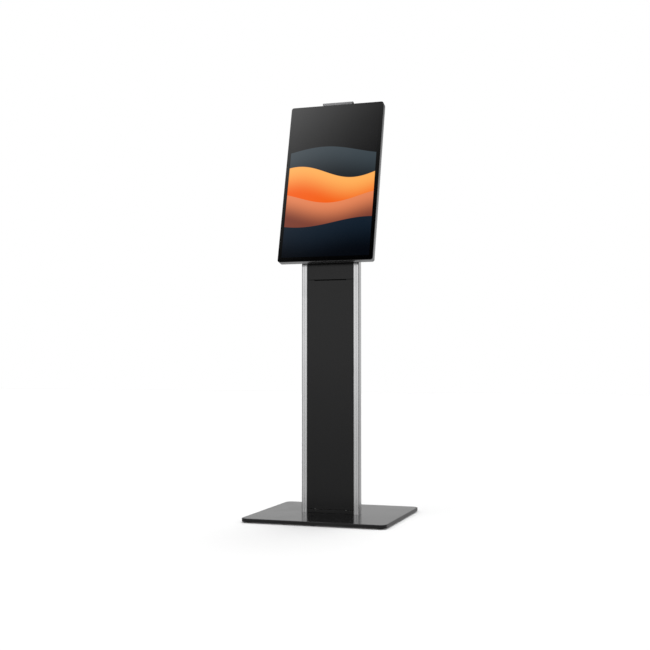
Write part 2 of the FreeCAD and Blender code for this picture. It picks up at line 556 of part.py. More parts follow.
def make_leads():
    make_lead("mains_lead", mains_route, number("mains_lead_rad"))
    make_lead("display_lead", display_route, number("display_lead_rad"))
    clips = new_piece("lead_clips")
    for level in ("clip_low", "clip_high"):
        block = rect("clip_left", "clip_right", "clip_front", "clip_back")
        channel = rect("clip_left+clip_wall", "clip_right-clip_wall", "clip_front+clip_floor", "clip_back")
        feature(clips, "XY_Plane", [block], level, f"{level}+clip_tall")
        feature(clips, "XY_Plane", [channel], level, f"{level}+clip_tall", cut=True)
    coupler = new_piece("lead_coupler")
    centre = ("coupler_x", "coupler_y")
    feature(coupler, "XY_Plane", [centred(*centre, "coupler_half_w", "coupler_half_d")],
            "coupler_low", "coupler_top")
    soften(coupler, "Fillet", "coupler_wall", runs_along(Z_AXIS))
    mouth = centred(*centre, "coupler_half_w-coupler_wall", "coupler_half_d-coupler_wall")
    feature(coupler, "XY_Plane", [mouth], "coupler_mouth", "coupler_top", cut=True)


def make_neck_plates():
    cap = new_piece("top_cap")
    levels = ("col_top", "col_top+cap_t")
    outline = rect("-col_half+cap_inset", "col_half-cap_inset", "post_y+cap_inset", "rear_y-cap_inset")
    feature(cap, "XY_Plane", [outline], *levels)
    soften(cap, "Fillet", "cap_t", runs_along(Z_AXIS))
    opening = rect("-cap_hole_half", "cap_hole_half", "cap_hole_front", "cap_hole_back")
    feature(cap, "XY_Plane", [opening], *levels, cut=True)

    mount = new_piece("neck_mount_plate")
    plate = ("mount_front", "mount_back")
    bolts = both_sides("neck_bolt_x", ("neck_bolt_low", "neck_bolt_high"))
    feature(mount, "XZ_Plane", [rect(f"-({post_inner})", post_inner, "mount_low", "mount_top")], *plate)
    feature(mount, "XZ_Plane", circles(bolts, "neck_bolt_rad+neck_bolt_fit"), *plate, cut=True)
    stepped("neck_bolts", "XZ_Plane", bolts, [("neck_bolt_rad", "mount_front", "arm_flange_back"),
                                              ("neck_nut_rad", "arm_flange_back", "neck_bolt_end")])


def make_arms():
    outline = [("mount_back", "arm_low"), ("arm_back", "arm_low"), ("arm_back", "arm_bend"),
               ("pivot_y+arm_lean_y", "pivot_z-arm_lean_z"), ("pivot_y-arm_lean_y", "pivot_z+arm_lean_z"),
               ("mount_back", "arm_bend")]
    flange = ("mount_back", "arm_flange_back")
    for label, sign in zip(("left_neck_arm", "right_neck_arm"), signs):
        arm = new_piece(label)
        span = side_span(sign, "arm_in", "arm_in+arm_t")
        feature(arm, "YZ_Plane", [outline], *span)
        feature(arm, "YZ_Plane", [pivot + ("arm_half",)], *span)
        foot = side_span(sign, "arm_in+arm_t", "arm_flange")
        feature(arm, "XZ_Plane", [rect(*foot, "arm_flange_low", "arm_flange_top")], *flange)
        near = [(f"{sign}neck_bolt_x", level) for level in ("neck_bolt_low", "neck_bolt_high")]
        feature(arm, "XZ_Plane", circles(near, "neck_bolt_rad+neck_bolt_fit"), *flange, cut=True)
        feature(arm, "YZ_Plane", [pivot + ("bolt_rad+bolt_fit",)], *span, cut=True)


def make_shroud():
    """A leaning tube of moulded plastic that hides the arms and the lead."""
    shroud = new_piece("neck_shroud")
    foot, top = "col_top+cap_t", "shroud_top"
    outer = [("shroud_foot_front", foot), ("shroud_foot_back", foot),
             ("shroud_head_back", top), ("shroud_head_front", top)]
    draws = ("+shroud_draw_front", "-shroud_draw_back", "-shroud_draw_back", "+shroud_draw_front")
    inner = [(y + draw, z) for (y, z), draw in zip(outer, draws)]
    feature(shroud, "YZ_Plane", [outer], "-shroud_half", "shroud_half")
    side = cells["shroud_half"]
    soften(shroud, "Fillet", "shroud_round",
           lambda middle, run: abs(abs(middle.x) - side) < 0.01 and abs(run.z) > 0.9)
    feature(shroud, "YZ_Plane", [inner], "-shroud_half+shroud_wall", "shroud_half-shroud_wall", cut=True)


def make_pivot():
    bolts = new_piece("pivot_bolts")
    washers = new_piece("friction_washers")
    nuts = new_piece("pivot_nuts")
    arm_out = "arm_in+arm_t"
    head_in = f"{arm_out}+outer_washer_t"
    hexagonal = hexagon("pivot_y", "pivot_z", "bolt_hex")
    for sign in signs:
        feature(bolts, "YZ_Plane", [pivot + ("bolt_rad",)], *side_span(sign, "bolt_in", head_in))
        feature(bolts, "YZ_Plane", [hexagonal], *side_span(sign, head_in, f"{head_in}+bolt_hex_t"))
        feature(washers, "YZ_Plane", [pivot + ("washer_rad",)], *side_span(sign, "arm_in-washer_t", "arm_in"))
        feature(washers, "YZ_Plane", [pivot + ("outer_washer_rad",)], *side_span(sign, arm_out, head_in))
        nut = side_span(sign, "ear_in-ear_draw-pivot_nut_t", "ear_in-ear_draw")
        feature(nuts, "YZ_Plane", [hexagonal], *nut)
    for piece in (washers, nuts):
        feature(piece, "YZ_Plane", [pivot + ("bolt_rad+run_fit",)], f"-({head_in})", head_in, cut=True)


def head_slab(label, inset, low, high, corner):
    """A rounded plate the shape of the glass, drawn in by an inset."""
    piece = new_piece(label, head_place())
    side = f"glass_w/2-({inset})"
    outline = rect(f"-({side})", side, inset, f"glass_h-({inset})")
    feature(piece, "XZ_Plane", [outline], low, high)
    soften(piece, "Fillet", corner, runs_along(Y_AXIS))
    return piece


def hollow_out(piece, inset, low, high, corner):
    """Cut a rounded opening through a head slab and round its corners."""
    side = f"glass_w/2-({inset})"
    outline = rect(f"-({side})", side, inset, f"glass_h-({inset})")
    feature(piece, "XZ_Plane", [outline], low, high, cut=True)
    limit = number(side)
    soften(piece, "Fillet", corner, lambda middle, run: abs(run.y) > 0.99 and abs(abs(middle.x) - limit) < 0.01)


edge_spots = both_sides("edge_x", ("edge_first", "edge_second", "edge_third", "edge_fourth"))
button_names = ("power_button", "menu_button", "plus_button", "minus_button")
button_spots = [("button_x", f"button_z+{step}*button_step") for step in range(len(button_names))]


def make_screen():
    behind_glass = "glass_t+gasket_t"
    glass = head_slab("cover_glass", "0", "0", "glass_t", "glass_corner")
    soften(glass, "Chamfer", "glass_chamfer", lambda middle, run: abs(middle.y) < 0.01)
    gasket = head_slab("edge_gasket", "gasket_inset", "glass_t", behind_glass, "glass_corner-gasket_inset")
    hollow_out(gasket, "gasket_w", "glass_t", behind_glass, "inner_corner")
    frame = head_slab("mid_frame", "frame_inset", behind_glass, "frame_back", "glass_corner-frame_inset")
    hollow_out(frame, "frame_wall+frame_inset", behind_glass, "frame_back", "inner_corner")
    panel = new_piece("lcd_panel", head_place())
    feature(panel, "XZ_Plane", [rect("-lcd_half", "lcd_half", "lcd_low", "lcd_top")],
            f"{behind_glass}+lcd_gap", "lcd_back")
    backlight = new_piece("backlight_tray", head_place())
    rim = rect("-lcd_half-light_rim", "lcd_half+light_rim", "lcd_low-light_rim", "lcd_top+light_rim")
    feature(backlight, "XZ_Plane", [rim], "light_front", "light_back")


def make_housing():
    housing = head_slab("rear_housing", "gasket_inset", "frame_back", "head_back", "glass_corner-gasket_inset")
    back = cells["head_back"]
    soften(housing, "Chamfer", "housing_chamfer", lambda middle, run: abs(middle.y - back) < 0.01)
    hollow_out(housing, "housing_wall", "frame_back", "head_back-skin_t", "housing_corner")
    skin = ("head_back-skin_t", "head_back")
    slot_count, slot_pitch = 21, 13
    for level in ("vent_high", "vent_low"):
        first = rect("vent_left", "vent_left+vent_w", level, f"{level}+{level}_tall")
        slot_row(housing, first, skin, "H_Axis", slot_count, slot_pitch)
    holes = circles(vesa_spots, "vesa_hole") + circles(button_spots, "button_rad+button_fit")
    holes += circles(edge_spots, "edge_hole")
    holes.append(rect("-port_half", "port_half", "port_low", "port_top"))
    feature(housing, "XZ_Plane", holes, *skin, cut=True)

    chassis = new_piece("inner_chassis", head_place())
    plate = rect("-chassis_half", "chassis_half", "chassis_low", "chassis_top")
    reach = ("chassis_back", "head_back-skin_t")
    feature(chassis, "XZ_Plane", [plate], "chassis_front", "chassis_back")
    feature(chassis, "XZ_Plane", circles(vesa_spots, "boss_rad"), *reach)
    feature(chassis, "XZ_Plane", circles(edge_spots, "edge_post"), *reach)
    stands = both_sides("stand_x", ("stand_low", "stand_high"))
    feature(chassis, "XZ_Plane", circles(stands, "stand_rad"), "chassis_back", "board_front")
    bores = circles(vesa_spots, "boss_bore") + circles(edge_spots, "edge_rad+run_fit")
    feature(chassis, "XZ_Plane", bores, "boss_bore_from", "head_back-skin_t", cut=True)
    stepped("housing_screws", "XZ_Plane", edge_spots,
            [("edge_rad", "edge_from", "head_back"), ("edge_head", "head_back", "head_back+edge_head_t")],
            head_place())


def make_electronics():
    board = new_piece("circuit_boards", head_place())
    sheet = ("board_front", "board_front+board_t")
    feature(board, "XZ_Plane", [rect("-board_half", "board_half", "board_low", "board_top")], *sheet)
    feature(board, "XZ_Plane", circles(vesa_spots, "board_clear"), *sheet, cut=True)
    chips = [rect("-80", "-60", "260", "290"), rect("60", "82", "210", "250"), rect("-20", "20", "200", "230")]
    feature(board, "XZ_Plane", chips, sheet[1], f"{sheet[1]}+chip_t")
    strip = rect("button_x-switch_half", "button_x+switch_half", "button_z-switch_over",
                 "button_z+3*button_step+switch_over")
    feature(board, "XZ_Plane", [strip], "switch_front", "switch_front+board_t")
    feature(board, "XZ_Plane", circles(button_spots, "switch_rad"), "switch_front+board_t", "switch_top")

    sink = new_piece("heat_sink", head_place())
    floor = rect("-sink_half", "sink_half", "sink_low", "sink_top")
    feature(sink, "XZ_Plane", [floor], "sink_front", "sink_floor")
    starts = [f"-sink_half+{step}*fin_pitch" for step in range(cells["fin_count"])]
    fins = [rect(start, f"{start}+fin_t", "sink_low", "sink_top") for start in starts]
    feature(sink, "XZ_Plane", fins, "sink_floor", "sink_back")

    ports = new_piece("io_ports", head_place())
    block = rect("-port_half+port_fit", "port_half-port_fit", "port_low+port_fit", "port_top-port_fit")
    feature(ports, "XZ_Plane", [block], "port_front", "port_face")
    shells = [("-54", "-34"), ("-28", "-14"), ("-8", "6"), ("14", "28"), ("36", "52")]
    outlines = [rect(left, right, "shell_low", "shell_top") for left, right in shells]
    feature(ports, "XZ_Plane", outlines, "port_face", "port_back")
    mouths = [rect(f"{left}+port_wall", f"{right}-port_wall", "shell_low+mouth_in", "shell_top-mouth_in")
              for left, right in shells]
    feature(ports, "XZ_Plane", mouths, "mouth_front", "port_back", cut=True)

    speakers = new_piece("speakers", head_place())
    pods = [rect(*side_span(sign, "speaker_in", "speaker_out"), "speaker_low", "speaker_top") for sign in signs]
    feature(speakers, "XZ_Plane", pods, "speaker_front", "speaker_back")
    soften(speakers, "Fillet", "speaker_round", runs_along(Y_AXIS))

    for name, spot in zip(button_names, button_spots):
        stepped(name, "XZ_Plane", [spot],
                [("button_rad+button_flange", "button_front", "button_seat"),
                 ("button_rad", "button_seat", "head_back+button_proud")], head_place())


def make_top_bar():
    bar = new_piece("top_bar", head_place())
    low, high = "glass_h-frame_inset", "glass_h+bar_tall"
    top = cells["glass_h"]
    feature(bar, "XZ_Plane", [rect("-bar_half", "bar_half", low, high)], "bar_front", "bar_back")
    soften(bar, "Fillet", "bar_round", lambda middle, run: abs(run.x) > 0.99 and middle.z > top + 1)
    ends = new_piece("top_bar_ends", head_place())
    caps = [rect(*side_span(sign, "bar_half", "bar_half+bar_end"), low, f"{high}-bar_end_inset")
            for sign in signs]
    feature(ends, "XZ_Plane", caps, "bar_front+bar_end_inset", "bar_back-bar_end_inset")


def make_tilt_bracket():
    bracket = new_piece("tilt_bracket", head_place())
    root = "head_back+bracket_t"
    feature(bracket, "XZ_Plane", [centred("0", "boss_mid", "bracket_half", "bracket_half")], "head_back", root)
    soften(bracket, "Fillet", "bracket_round", runs_along(Y_AXIS))
    tip_y, tip_half = "pivot_back+ear_reach", "(ear_rad-ear_draw)"
    ear = [(root, "boss_mid-ear_root"), (tip_y, f"boss_mid-{tip_half}"), (tip_y, f"boss_mid+{tip_half}"),
           (root, "boss_mid+ear_root")]
    axis = ("circle", "pivot_back", "boss_mid")
    for sign in signs:
        span = side_span(sign, "ear_in", "ear_in+ear_t")
        feature(bracket, "YZ_Plane", [ear], *span)
        feature(bracket, "YZ_Plane", [axis + ("ear_rad",)], *span)
    feature(bracket, "YZ_Plane", [axis + ("bolt_rad+run_fit",)], "-bracket_half", "bracket_half", cut=True)
    feature(bracket, "XZ_Plane", circles(vesa_spots, "vesa_hole"), "head_back", root, cut=True)
    stepped("vesa_screws", "XZ_Plane", vesa_spots,
            [("vesa_rad", "edge_from", root), ("vesa_head", root, f"{root}+vesa_head_t")], head_place())


def check_and_write():
    document.recompute()
    for item in document.Objects:
        if "Invalid" in item.State or "Error" in item.State:
            raise ValueError(f"{item.Label} did not recompute: {item.State}")
    os.makedirs("parts", exist_ok=True)
    for piece in made:
        if piece.Shape.isNull() or not piece.Shape.isValid():
            raise ValueError(f"{piece.Label} has no valid shape")
        piece.Shape.exportStep(f"parts/{piece.Label}.step")
    print(f"{len(made)} nodes written")


make_base()
make_posts()
make_ties()
make_front()
make_rear()
make_hinges()
make_lock()
make_power()
make_leads()
make_neck_plates()
make_arms()
make_shroud()
make_pivot()
make_screen()
make_housing()
make_electronics()
make_top_bar()
make_tilt_bracket()
check_and_write()
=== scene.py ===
import json
import math

import bmesh
import bpy
from mathutils import Euler, Matrix, Vector


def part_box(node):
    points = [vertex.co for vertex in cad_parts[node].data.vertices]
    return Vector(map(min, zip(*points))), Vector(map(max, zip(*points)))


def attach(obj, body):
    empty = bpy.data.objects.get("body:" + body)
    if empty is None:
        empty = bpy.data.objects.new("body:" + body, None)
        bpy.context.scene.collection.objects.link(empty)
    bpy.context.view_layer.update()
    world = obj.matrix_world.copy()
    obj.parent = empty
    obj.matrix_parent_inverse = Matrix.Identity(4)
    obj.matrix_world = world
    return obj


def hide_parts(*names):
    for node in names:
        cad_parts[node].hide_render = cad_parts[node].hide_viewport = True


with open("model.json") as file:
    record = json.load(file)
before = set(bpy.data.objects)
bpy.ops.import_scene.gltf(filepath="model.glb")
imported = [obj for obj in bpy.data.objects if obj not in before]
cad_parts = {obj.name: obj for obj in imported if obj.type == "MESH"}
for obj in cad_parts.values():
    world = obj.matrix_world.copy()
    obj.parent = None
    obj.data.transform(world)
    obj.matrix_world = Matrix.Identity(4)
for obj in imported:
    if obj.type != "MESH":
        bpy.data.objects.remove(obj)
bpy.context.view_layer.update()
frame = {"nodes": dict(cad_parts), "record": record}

nodes = frame["nodes"]
record = frame["record"]
bodyOf = {node: body for body, held in record["behaviour"]["bodies"].items() for node in held}
slotOf = {part["node"]: part["material_slot"] for part in record["subparts"]}
scene = bpy.context.scene
print("frame loaded:", len(nodes), "nodes")

# the head leans back about the lower front edge of its glass
headTilt = math.radians(14.5)
headOrigin = Vector((0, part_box("cover_glass")[0][1], 0.939))
headPlace = Matrix.Translation(headOrigin) @ Euler((-headTilt, 0, 0)).to_matrix().to_4x4()


# node helpers, for shaders and geometry alike
def addNode(tree, kind, values=None, **settings):
    node = tree.nodes.new(kind)
    for name, value in settings.items():
        setattr(node, name, value)
    for name, value in (values or {}).items():
        if isinstance(value, bpy.types.NodeSocket):
            tree.links.new(value, node.inputs[name])
        else:
            node.inputs[name].default_value = value
    return node


def wire(tree, source, target):
    tree.links.new(source, target)


def mathNode(tree, operation, *values, clamp=False):
    node = addNode(tree, "ShaderNodeMath", operation=operation, use_clamp=clamp)
    for index, value in enumerate(values):
        if isinstance(value, (int, float)):
            node.inputs[index].default_value = value
        else:
            wire(tree, value, node.inputs[index])
    return node.outputs[0]


def mixColour(tree, factor, first, second):
    node = addNode(tree, "ShaderNodeMix", data_type="RGBA")
    for index, value in ((0, factor), (6, first), (7, second)):
        if isinstance(value, (int, float)):
            node.inputs[index].default_value = value
        elif isinstance(value, tuple):
            node.inputs[index].default_value = (*value, 1)
        else:
            wire(tree, value, node.inputs[index])
    return node.outputs[2]


def mixFloat(tree, factor, first, second):
    node = addNode(tree, "ShaderNodeMix", data_type="FLOAT")
    for index, value in ((0, factor), (2, first), (3, second)):
        if isinstance(value, (int, float)):
            node.inputs[index].default_value = value
        else:
            wire(tree, value, node.inputs[index])
    return node.outputs[0]


def remap(tree, value, fromLow, fromHigh, toLow, toHigh, smooth=False):
    node = addNode(tree, "ShaderNodeMapRange", {"From Min": fromLow, "From Max": fromHigh,
                                                "To Min": toLow, "To Max": toHigh, "Value": value})
    node.interpolation_type = "SMOOTHSTEP" if smooth else "LINEAR"
    return node.outputs["Result"]


def newGroup(name, inputs, outputs, kind="ShaderNodeTree"):
    group = bpy.data.node_groups.new(name, kind)
    for label, socketKind, value in inputs:
        socket = group.interface.new_socket(label, in_out="INPUT", socket_type=f"NodeSocket{socketKind}")
        if value is not None:
            socket.default_value = value
    for label, socketKind in outputs:
        group.interface.new_socket(label, in_out="OUTPUT", socket_type=f"NodeSocket{socketKind}")
    return group, addNode(group, "NodeGroupInput").outputs, addNode(group, "NodeGroupOutput").inputs


def useGroup(tree, group, **values):
    return addNode(tree, "ShaderNodeGroup", values, node_tree=group).outputs


def newMaterial(name):
    material = bpy.data.materials.new(name)
    material.use_nodes = True
    tree = material.node_tree
    place = addNode(tree, "ShaderNodeTexCoord").outputs["Object"]
    return material, tree, tree.nodes["Principled BSDF"], place


def bumpInto(tree, shader, height, strength, distance):
    bump = addNode(tree, "ShaderNodeBump", {"Strength": strength, "Distance": distance, "Height": height})
    wire(tree, bump.outputs["Normal"], shader.inputs["Normal"])


# effects that several finishes share
def makeWearGroup():
    group, start, end = newGroup("edgeWear", [("Vector", "Vector", None), ("Edge", "Float", 0.0),
                                              ("Breakup", "Float", 60.0), ("Amount", "Float", 0.5)],
                                 [("Mask", "Float")])
    noise = addNode(group, "ShaderNodeTexNoise", {"Vector": start["Vector"], "Scale": start["Breakup"],
                                                  "Detail": 5.0, "Roughness": 0.6})
    patchy = remap(group, noise.outputs["Fac"], 0.42, 0.62, 0.15, 1.0, smooth=True)
    mask = mathNode(group, "MULTIPLY", mathNode(group, "MULTIPLY", start["Edge"], patchy), start["Amount"])
    wire(group, mask, end["Mask"])
    return group


def makeCoatGroup():
    group, start, end = newGroup("powderCoat", [("Vector", "Vector", None), ("Scale", "Float", 900.0)],
                                 [("Height", "Float"), ("Tone", "Float")])
    pebble = addNode(group, "ShaderNodeTexNoise", {"Vector": start["Vector"], "Scale": start["Scale"],
                                                   "Detail": 3.0, "Roughness": 0.55})
    drift = addNode(group, "ShaderNodeTexNoise", {"Vector": start["Vector"], "Scale": 3.0, "Detail": 2.0})
    wire(group, pebble.outputs["Fac"], end["Height"])
    wire(group, remap(group, drift.outputs["Fac"], 0.3, 0.7, 0.0, 1.0), end["Tone"])
    return group


def makeBrushGroup():
    group, start, end = newGroup("brushedGrain", [("Vector", "Vector", None), ("Stretch", "Vector", (1, 1, 1))],
                                 [("Streak", "Float"), ("Tone", "Float")])
    mapping = addNode(group, "ShaderNodeMapping", {"Vector": start["Vector"], "Scale": start["Stretch"]})
    spot = mapping.outputs["Vector"]
    fine = addNode(group, "ShaderNodeTexNoise", {"Vector": spot, "Scale": 1.0, "Detail": 4.0, "Roughness": 0.7})
    broad = addNode(group, "ShaderNodeTexNoise", {"Vector": spot, "Scale": 0.12, "Detail": 3.0})
    wire(group, fine.outputs["Fac"], end["Streak"])
    wire(group, remap(group, broad.outputs["Fac"], 0.3, 0.7, 0.0, 1.0), end["Tone"])
    return group


def makeHandlingGroup():
    group, start, end = newGroup("handling", [("Vector", "Vector", None), ("Scale", "Float", 12.0)],
                                 [("Smudge", "Float")])
    cloud = addNode(group, "ShaderNodeTexNoise", {"Vector": start["Vector"], "Scale": start["Scale"],
                                                  "Detail": 4.0, "Roughness": 0.6, "Distortion": 0.6})
    wire(group, remap(group, cloud.outputs["Fac"], 0.42, 0.75, 0.0, 1.0, smooth=True), end["Smudge"])
    return group


def makeGrainGroup():
    group, start, end = newGroup("mouldGrain", [("Vector", "Vector", None), ("Scale", "Float", 1100.0)],
                                 [("Height", "Float")])
    cells = addNode(group, "ShaderNodeTexVoronoi", {"Vector": start["Vector"], "Scale": start["Scale"]},
                    feature="SMOOTH_F1")
    cells.inputs["Smoothness"].default_value = 0.6
    wire(group, cells.outputs["Distance"], end["Height"])
    return group


wearGroup = makeWearGroup()
coatGroup = makeCoatGroup()
brushGroup = makeBrushGroup()
handlingGroup = makeHandlingGroup()
grainGroup = makeGrainGroup()
print("shader groups ready")


# finishes, one for each slot of the record
smudges = {"metalScale": 14.0, "metalRough": 0.04, "streakSpread": 0.05, "brushDepth": 0.00003,
           "plasticScale": 20.0, "plasticWear": 0.5, "plasticShine": 0.08, "grainDepth": 0.0002}


def wornEdge(tree, place, amount, breakup=60.0):
    edge = addNode(tree, "ShaderNodeAttribute", attribute_name="roundedEdge").outputs["Fac"]
    return useGroup(tree, wearGroup, Vector=place, Edge=edge, Breakup=breakup, Amount=amount)["Mask"]


def coatedMetal(name, look):
    material, tree, shader, place = newMaterial(name)
    coat = useGroup(tree, coatGroup, Vector=place, Scale=look["pebble"])
    touch = useGroup(tree, handlingGroup, Vector=place, Scale=look["smudgeScale"])
    colour = mixColour(tree, coat["Tone"], look["dark"], look["light"])
    colour = mixColour(tree, wornEdge(tree, place, look["wear"]), colour, look["worn"])
    wire(tree, colour, shader.inputs["Base Color"])
    wire(tree, remap(tree, touch["Smudge"], 0.0, 1.0, look["rough"], look["smudged"]),
         shader.inputs["Roughness"])
    shader.inputs["Specular IOR Level"].default_value = look["specular"]
    bumpInto(tree, shader, coat["Height"], look["bump"], look["bumpDepth"])
    return material


# widths of the painted shade on a post: edge bands and groove on the front face, and the inner side
postFace = {"panelGap": 0.0015, "shadeBandStart": 0.0034, "shadeBandFull": 0.0024, "grooveStart": 0.0010,
            "grooveFull": 0.0004, "grooveShadeTone": 0.5, "frontEnd": 0.0020, "frontFull": 0.0012,
            "innerEnd": 0.0010, "innerFull": 0.0006}


def innerEdge():
    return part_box("lower_front_panel")[1][0] + postFace["panelGap"]


# painted shade along both edges of a post's front face, standing in for the darker reflection of rounded edges,
# and a painted shadow along its groove
def paintedEdgeShade(tree, place):
    low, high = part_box("right_post")
    middle, half = (innerEdge() + high[0]) / 2, (high[0] - innerEdge()) / 2
    parts = addNode(tree, "ShaderNodeSeparateXYZ", {"Vector": place}).outputs
    off = mathNode(tree, "SUBTRACT", mathNode(tree, "ABSOLUTE", parts["X"]), middle)
    off = mathNode(tree, "ABSOLUTE", off)
    edges = remap(tree, off, half - postFace["shadeBandStart"], half - postFace["shadeBandFull"], 0.0, 1.0)
    shadedGroove = remap(tree, off, postFace["grooveStart"], postFace["grooveFull"], 0.0, postFace["grooveShadeTone"])
    front = remap(tree, parts["Y"], low[1] + postFace["frontEnd"], low[1] + postFace["frontFull"], 0.0, 1.0)
    return mathNode(tree, "MULTIPLY", mathNode(tree, "MAXIMUM", edges, shadedGroove), front)


# painted shade: the inner side of a post darkened, standing in for the shadow in the gap next to the panels
def innerSide(tree, place):
    parts = addNode(tree, "ShaderNodeSeparateXYZ", {"Vector": place}).outputs
    return remap(tree, mathNode(tree, "ABSOLUTE", parts["X"]), innerEdge() + postFace["innerEnd"],
                 innerEdge() + postFace["innerFull"], 0.0, 1.0)


# places on the head, measured from the lower front edge of its glass
def headSpot(tree, place):
    local = addNode(tree, "ShaderNodeMapping", {"Vector": place, "Location": headOrigin,
                                                "Rotation": (-headTilt, 0, 0)}, vector_type="TEXTURE")
    return addNode(tree, "ShaderNodeSeparateXYZ", {"Vector": local.outputs[0]}).outputs


barFace = {"from": 0.6282, "full": 0.6290}


# the darker anodising of the bar that stands above the frame
def aboveFrame(tree, place):
    return remap(tree, headSpot(tree, place)["Z"], barFace["from"], barFace["full"], 0.0, 1.0)


def brushedMetal(name, look):
    material, tree, shader, place = newMaterial(name)
    brush = useGroup(tree, brushGroup, Vector=place, Stretch=look["stretch"])
    touch = useGroup(tree, handlingGroup, Vector=place, Scale=smudges["metalScale"])
    colour = mixColour(tree, brush["Tone"], look["dark"], look["light"])
    colour = mixColour(tree, wornEdge(tree, place, look["wear"]), colour, look["worn"])
    # painted shade on the posts: darker edge bands and groove, and a darkened inner side
    if "edgeShade" in look:
        colour = mixColour(tree, paintedEdgeShade(tree, place), colour, look["edgeShade"])
        colour = mixColour(tree, innerSide(tree, place), colour, look["inner"])
    if "bar" in look:
        colour = mixColour(tree, aboveFrame(tree, place), colour, look["bar"])
    wire(tree, colour, shader.inputs["Base Color"])
    shader.inputs["Metallic"].default_value = 1.0
    spread = smudges["streakSpread"]
    rough = remap(tree, brush["Streak"], 0.25, 0.75, look["rough"] - spread, look["rough"] + spread)
    rough = mathNode(tree, "ADD", rough, mathNode(tree, "MULTIPLY", touch["Smudge"], smudges["metalRough"]))
    wire(tree, rough, shader.inputs["Roughness"])
    bumpInto(tree, shader, brush["Streak"], look["bump"], smudges["brushDepth"])
    return material


def mouldedPlastic(name, look):
    material, tree, shader, place = newMaterial(name)
    grain = useGroup(tree, grainGroup, Vector=place, Scale=look["grain"])
    touch = useGroup(tree, handlingGroup, Vector=place, Scale=smudges["plasticScale"])
    colour = mixColour(tree, touch["Smudge"], look["dark"], look["light"])
    colour = mixColour(tree, wornEdge(tree, place, smudges["plasticWear"]), colour, look["worn"])
    wire(tree, colour, shader.inputs["Base Color"])
    wire(tree, remap(tree, touch["Smudge"], 0.0, 1.0, look["rough"], look["rough"] - smudges["plasticShine"]),
         shader.inputs["Roughness"])
    shader.inputs["Specular IOR Level"].default_value = look["specular"]
    bumpInto(tree, shader, grain["Height"], look["bump"], smudges["grainDepth"])
    return material


def circuitBoard(name, look):
    material, tree, shader, place = newMaterial(name)
    traces = addNode(tree, "ShaderNodeTexVoronoi", {"Vector": place, "Scale": look["traces"]},
                     distance="CHEBYCHEV")
    lines = remap(tree, traces.outputs["Distance"], 0.40, 0.46, 0.0, 1.0)
    wire(tree, mixColour(tree, lines, look["mask"], look["copper"]), shader.inputs["Base Color"])
    touch = useGroup(tree, handlingGroup, Vector=place, Scale=look["smudgeScale"])
    wire(tree, remap(tree, touch["Smudge"], 0.0, 1.0, look["rough"], look["smudged"]),
         shader.inputs["Roughness"])
    bumpInto(tree, shader, lines, look["bump"], look["bumpDepth"])
    return material


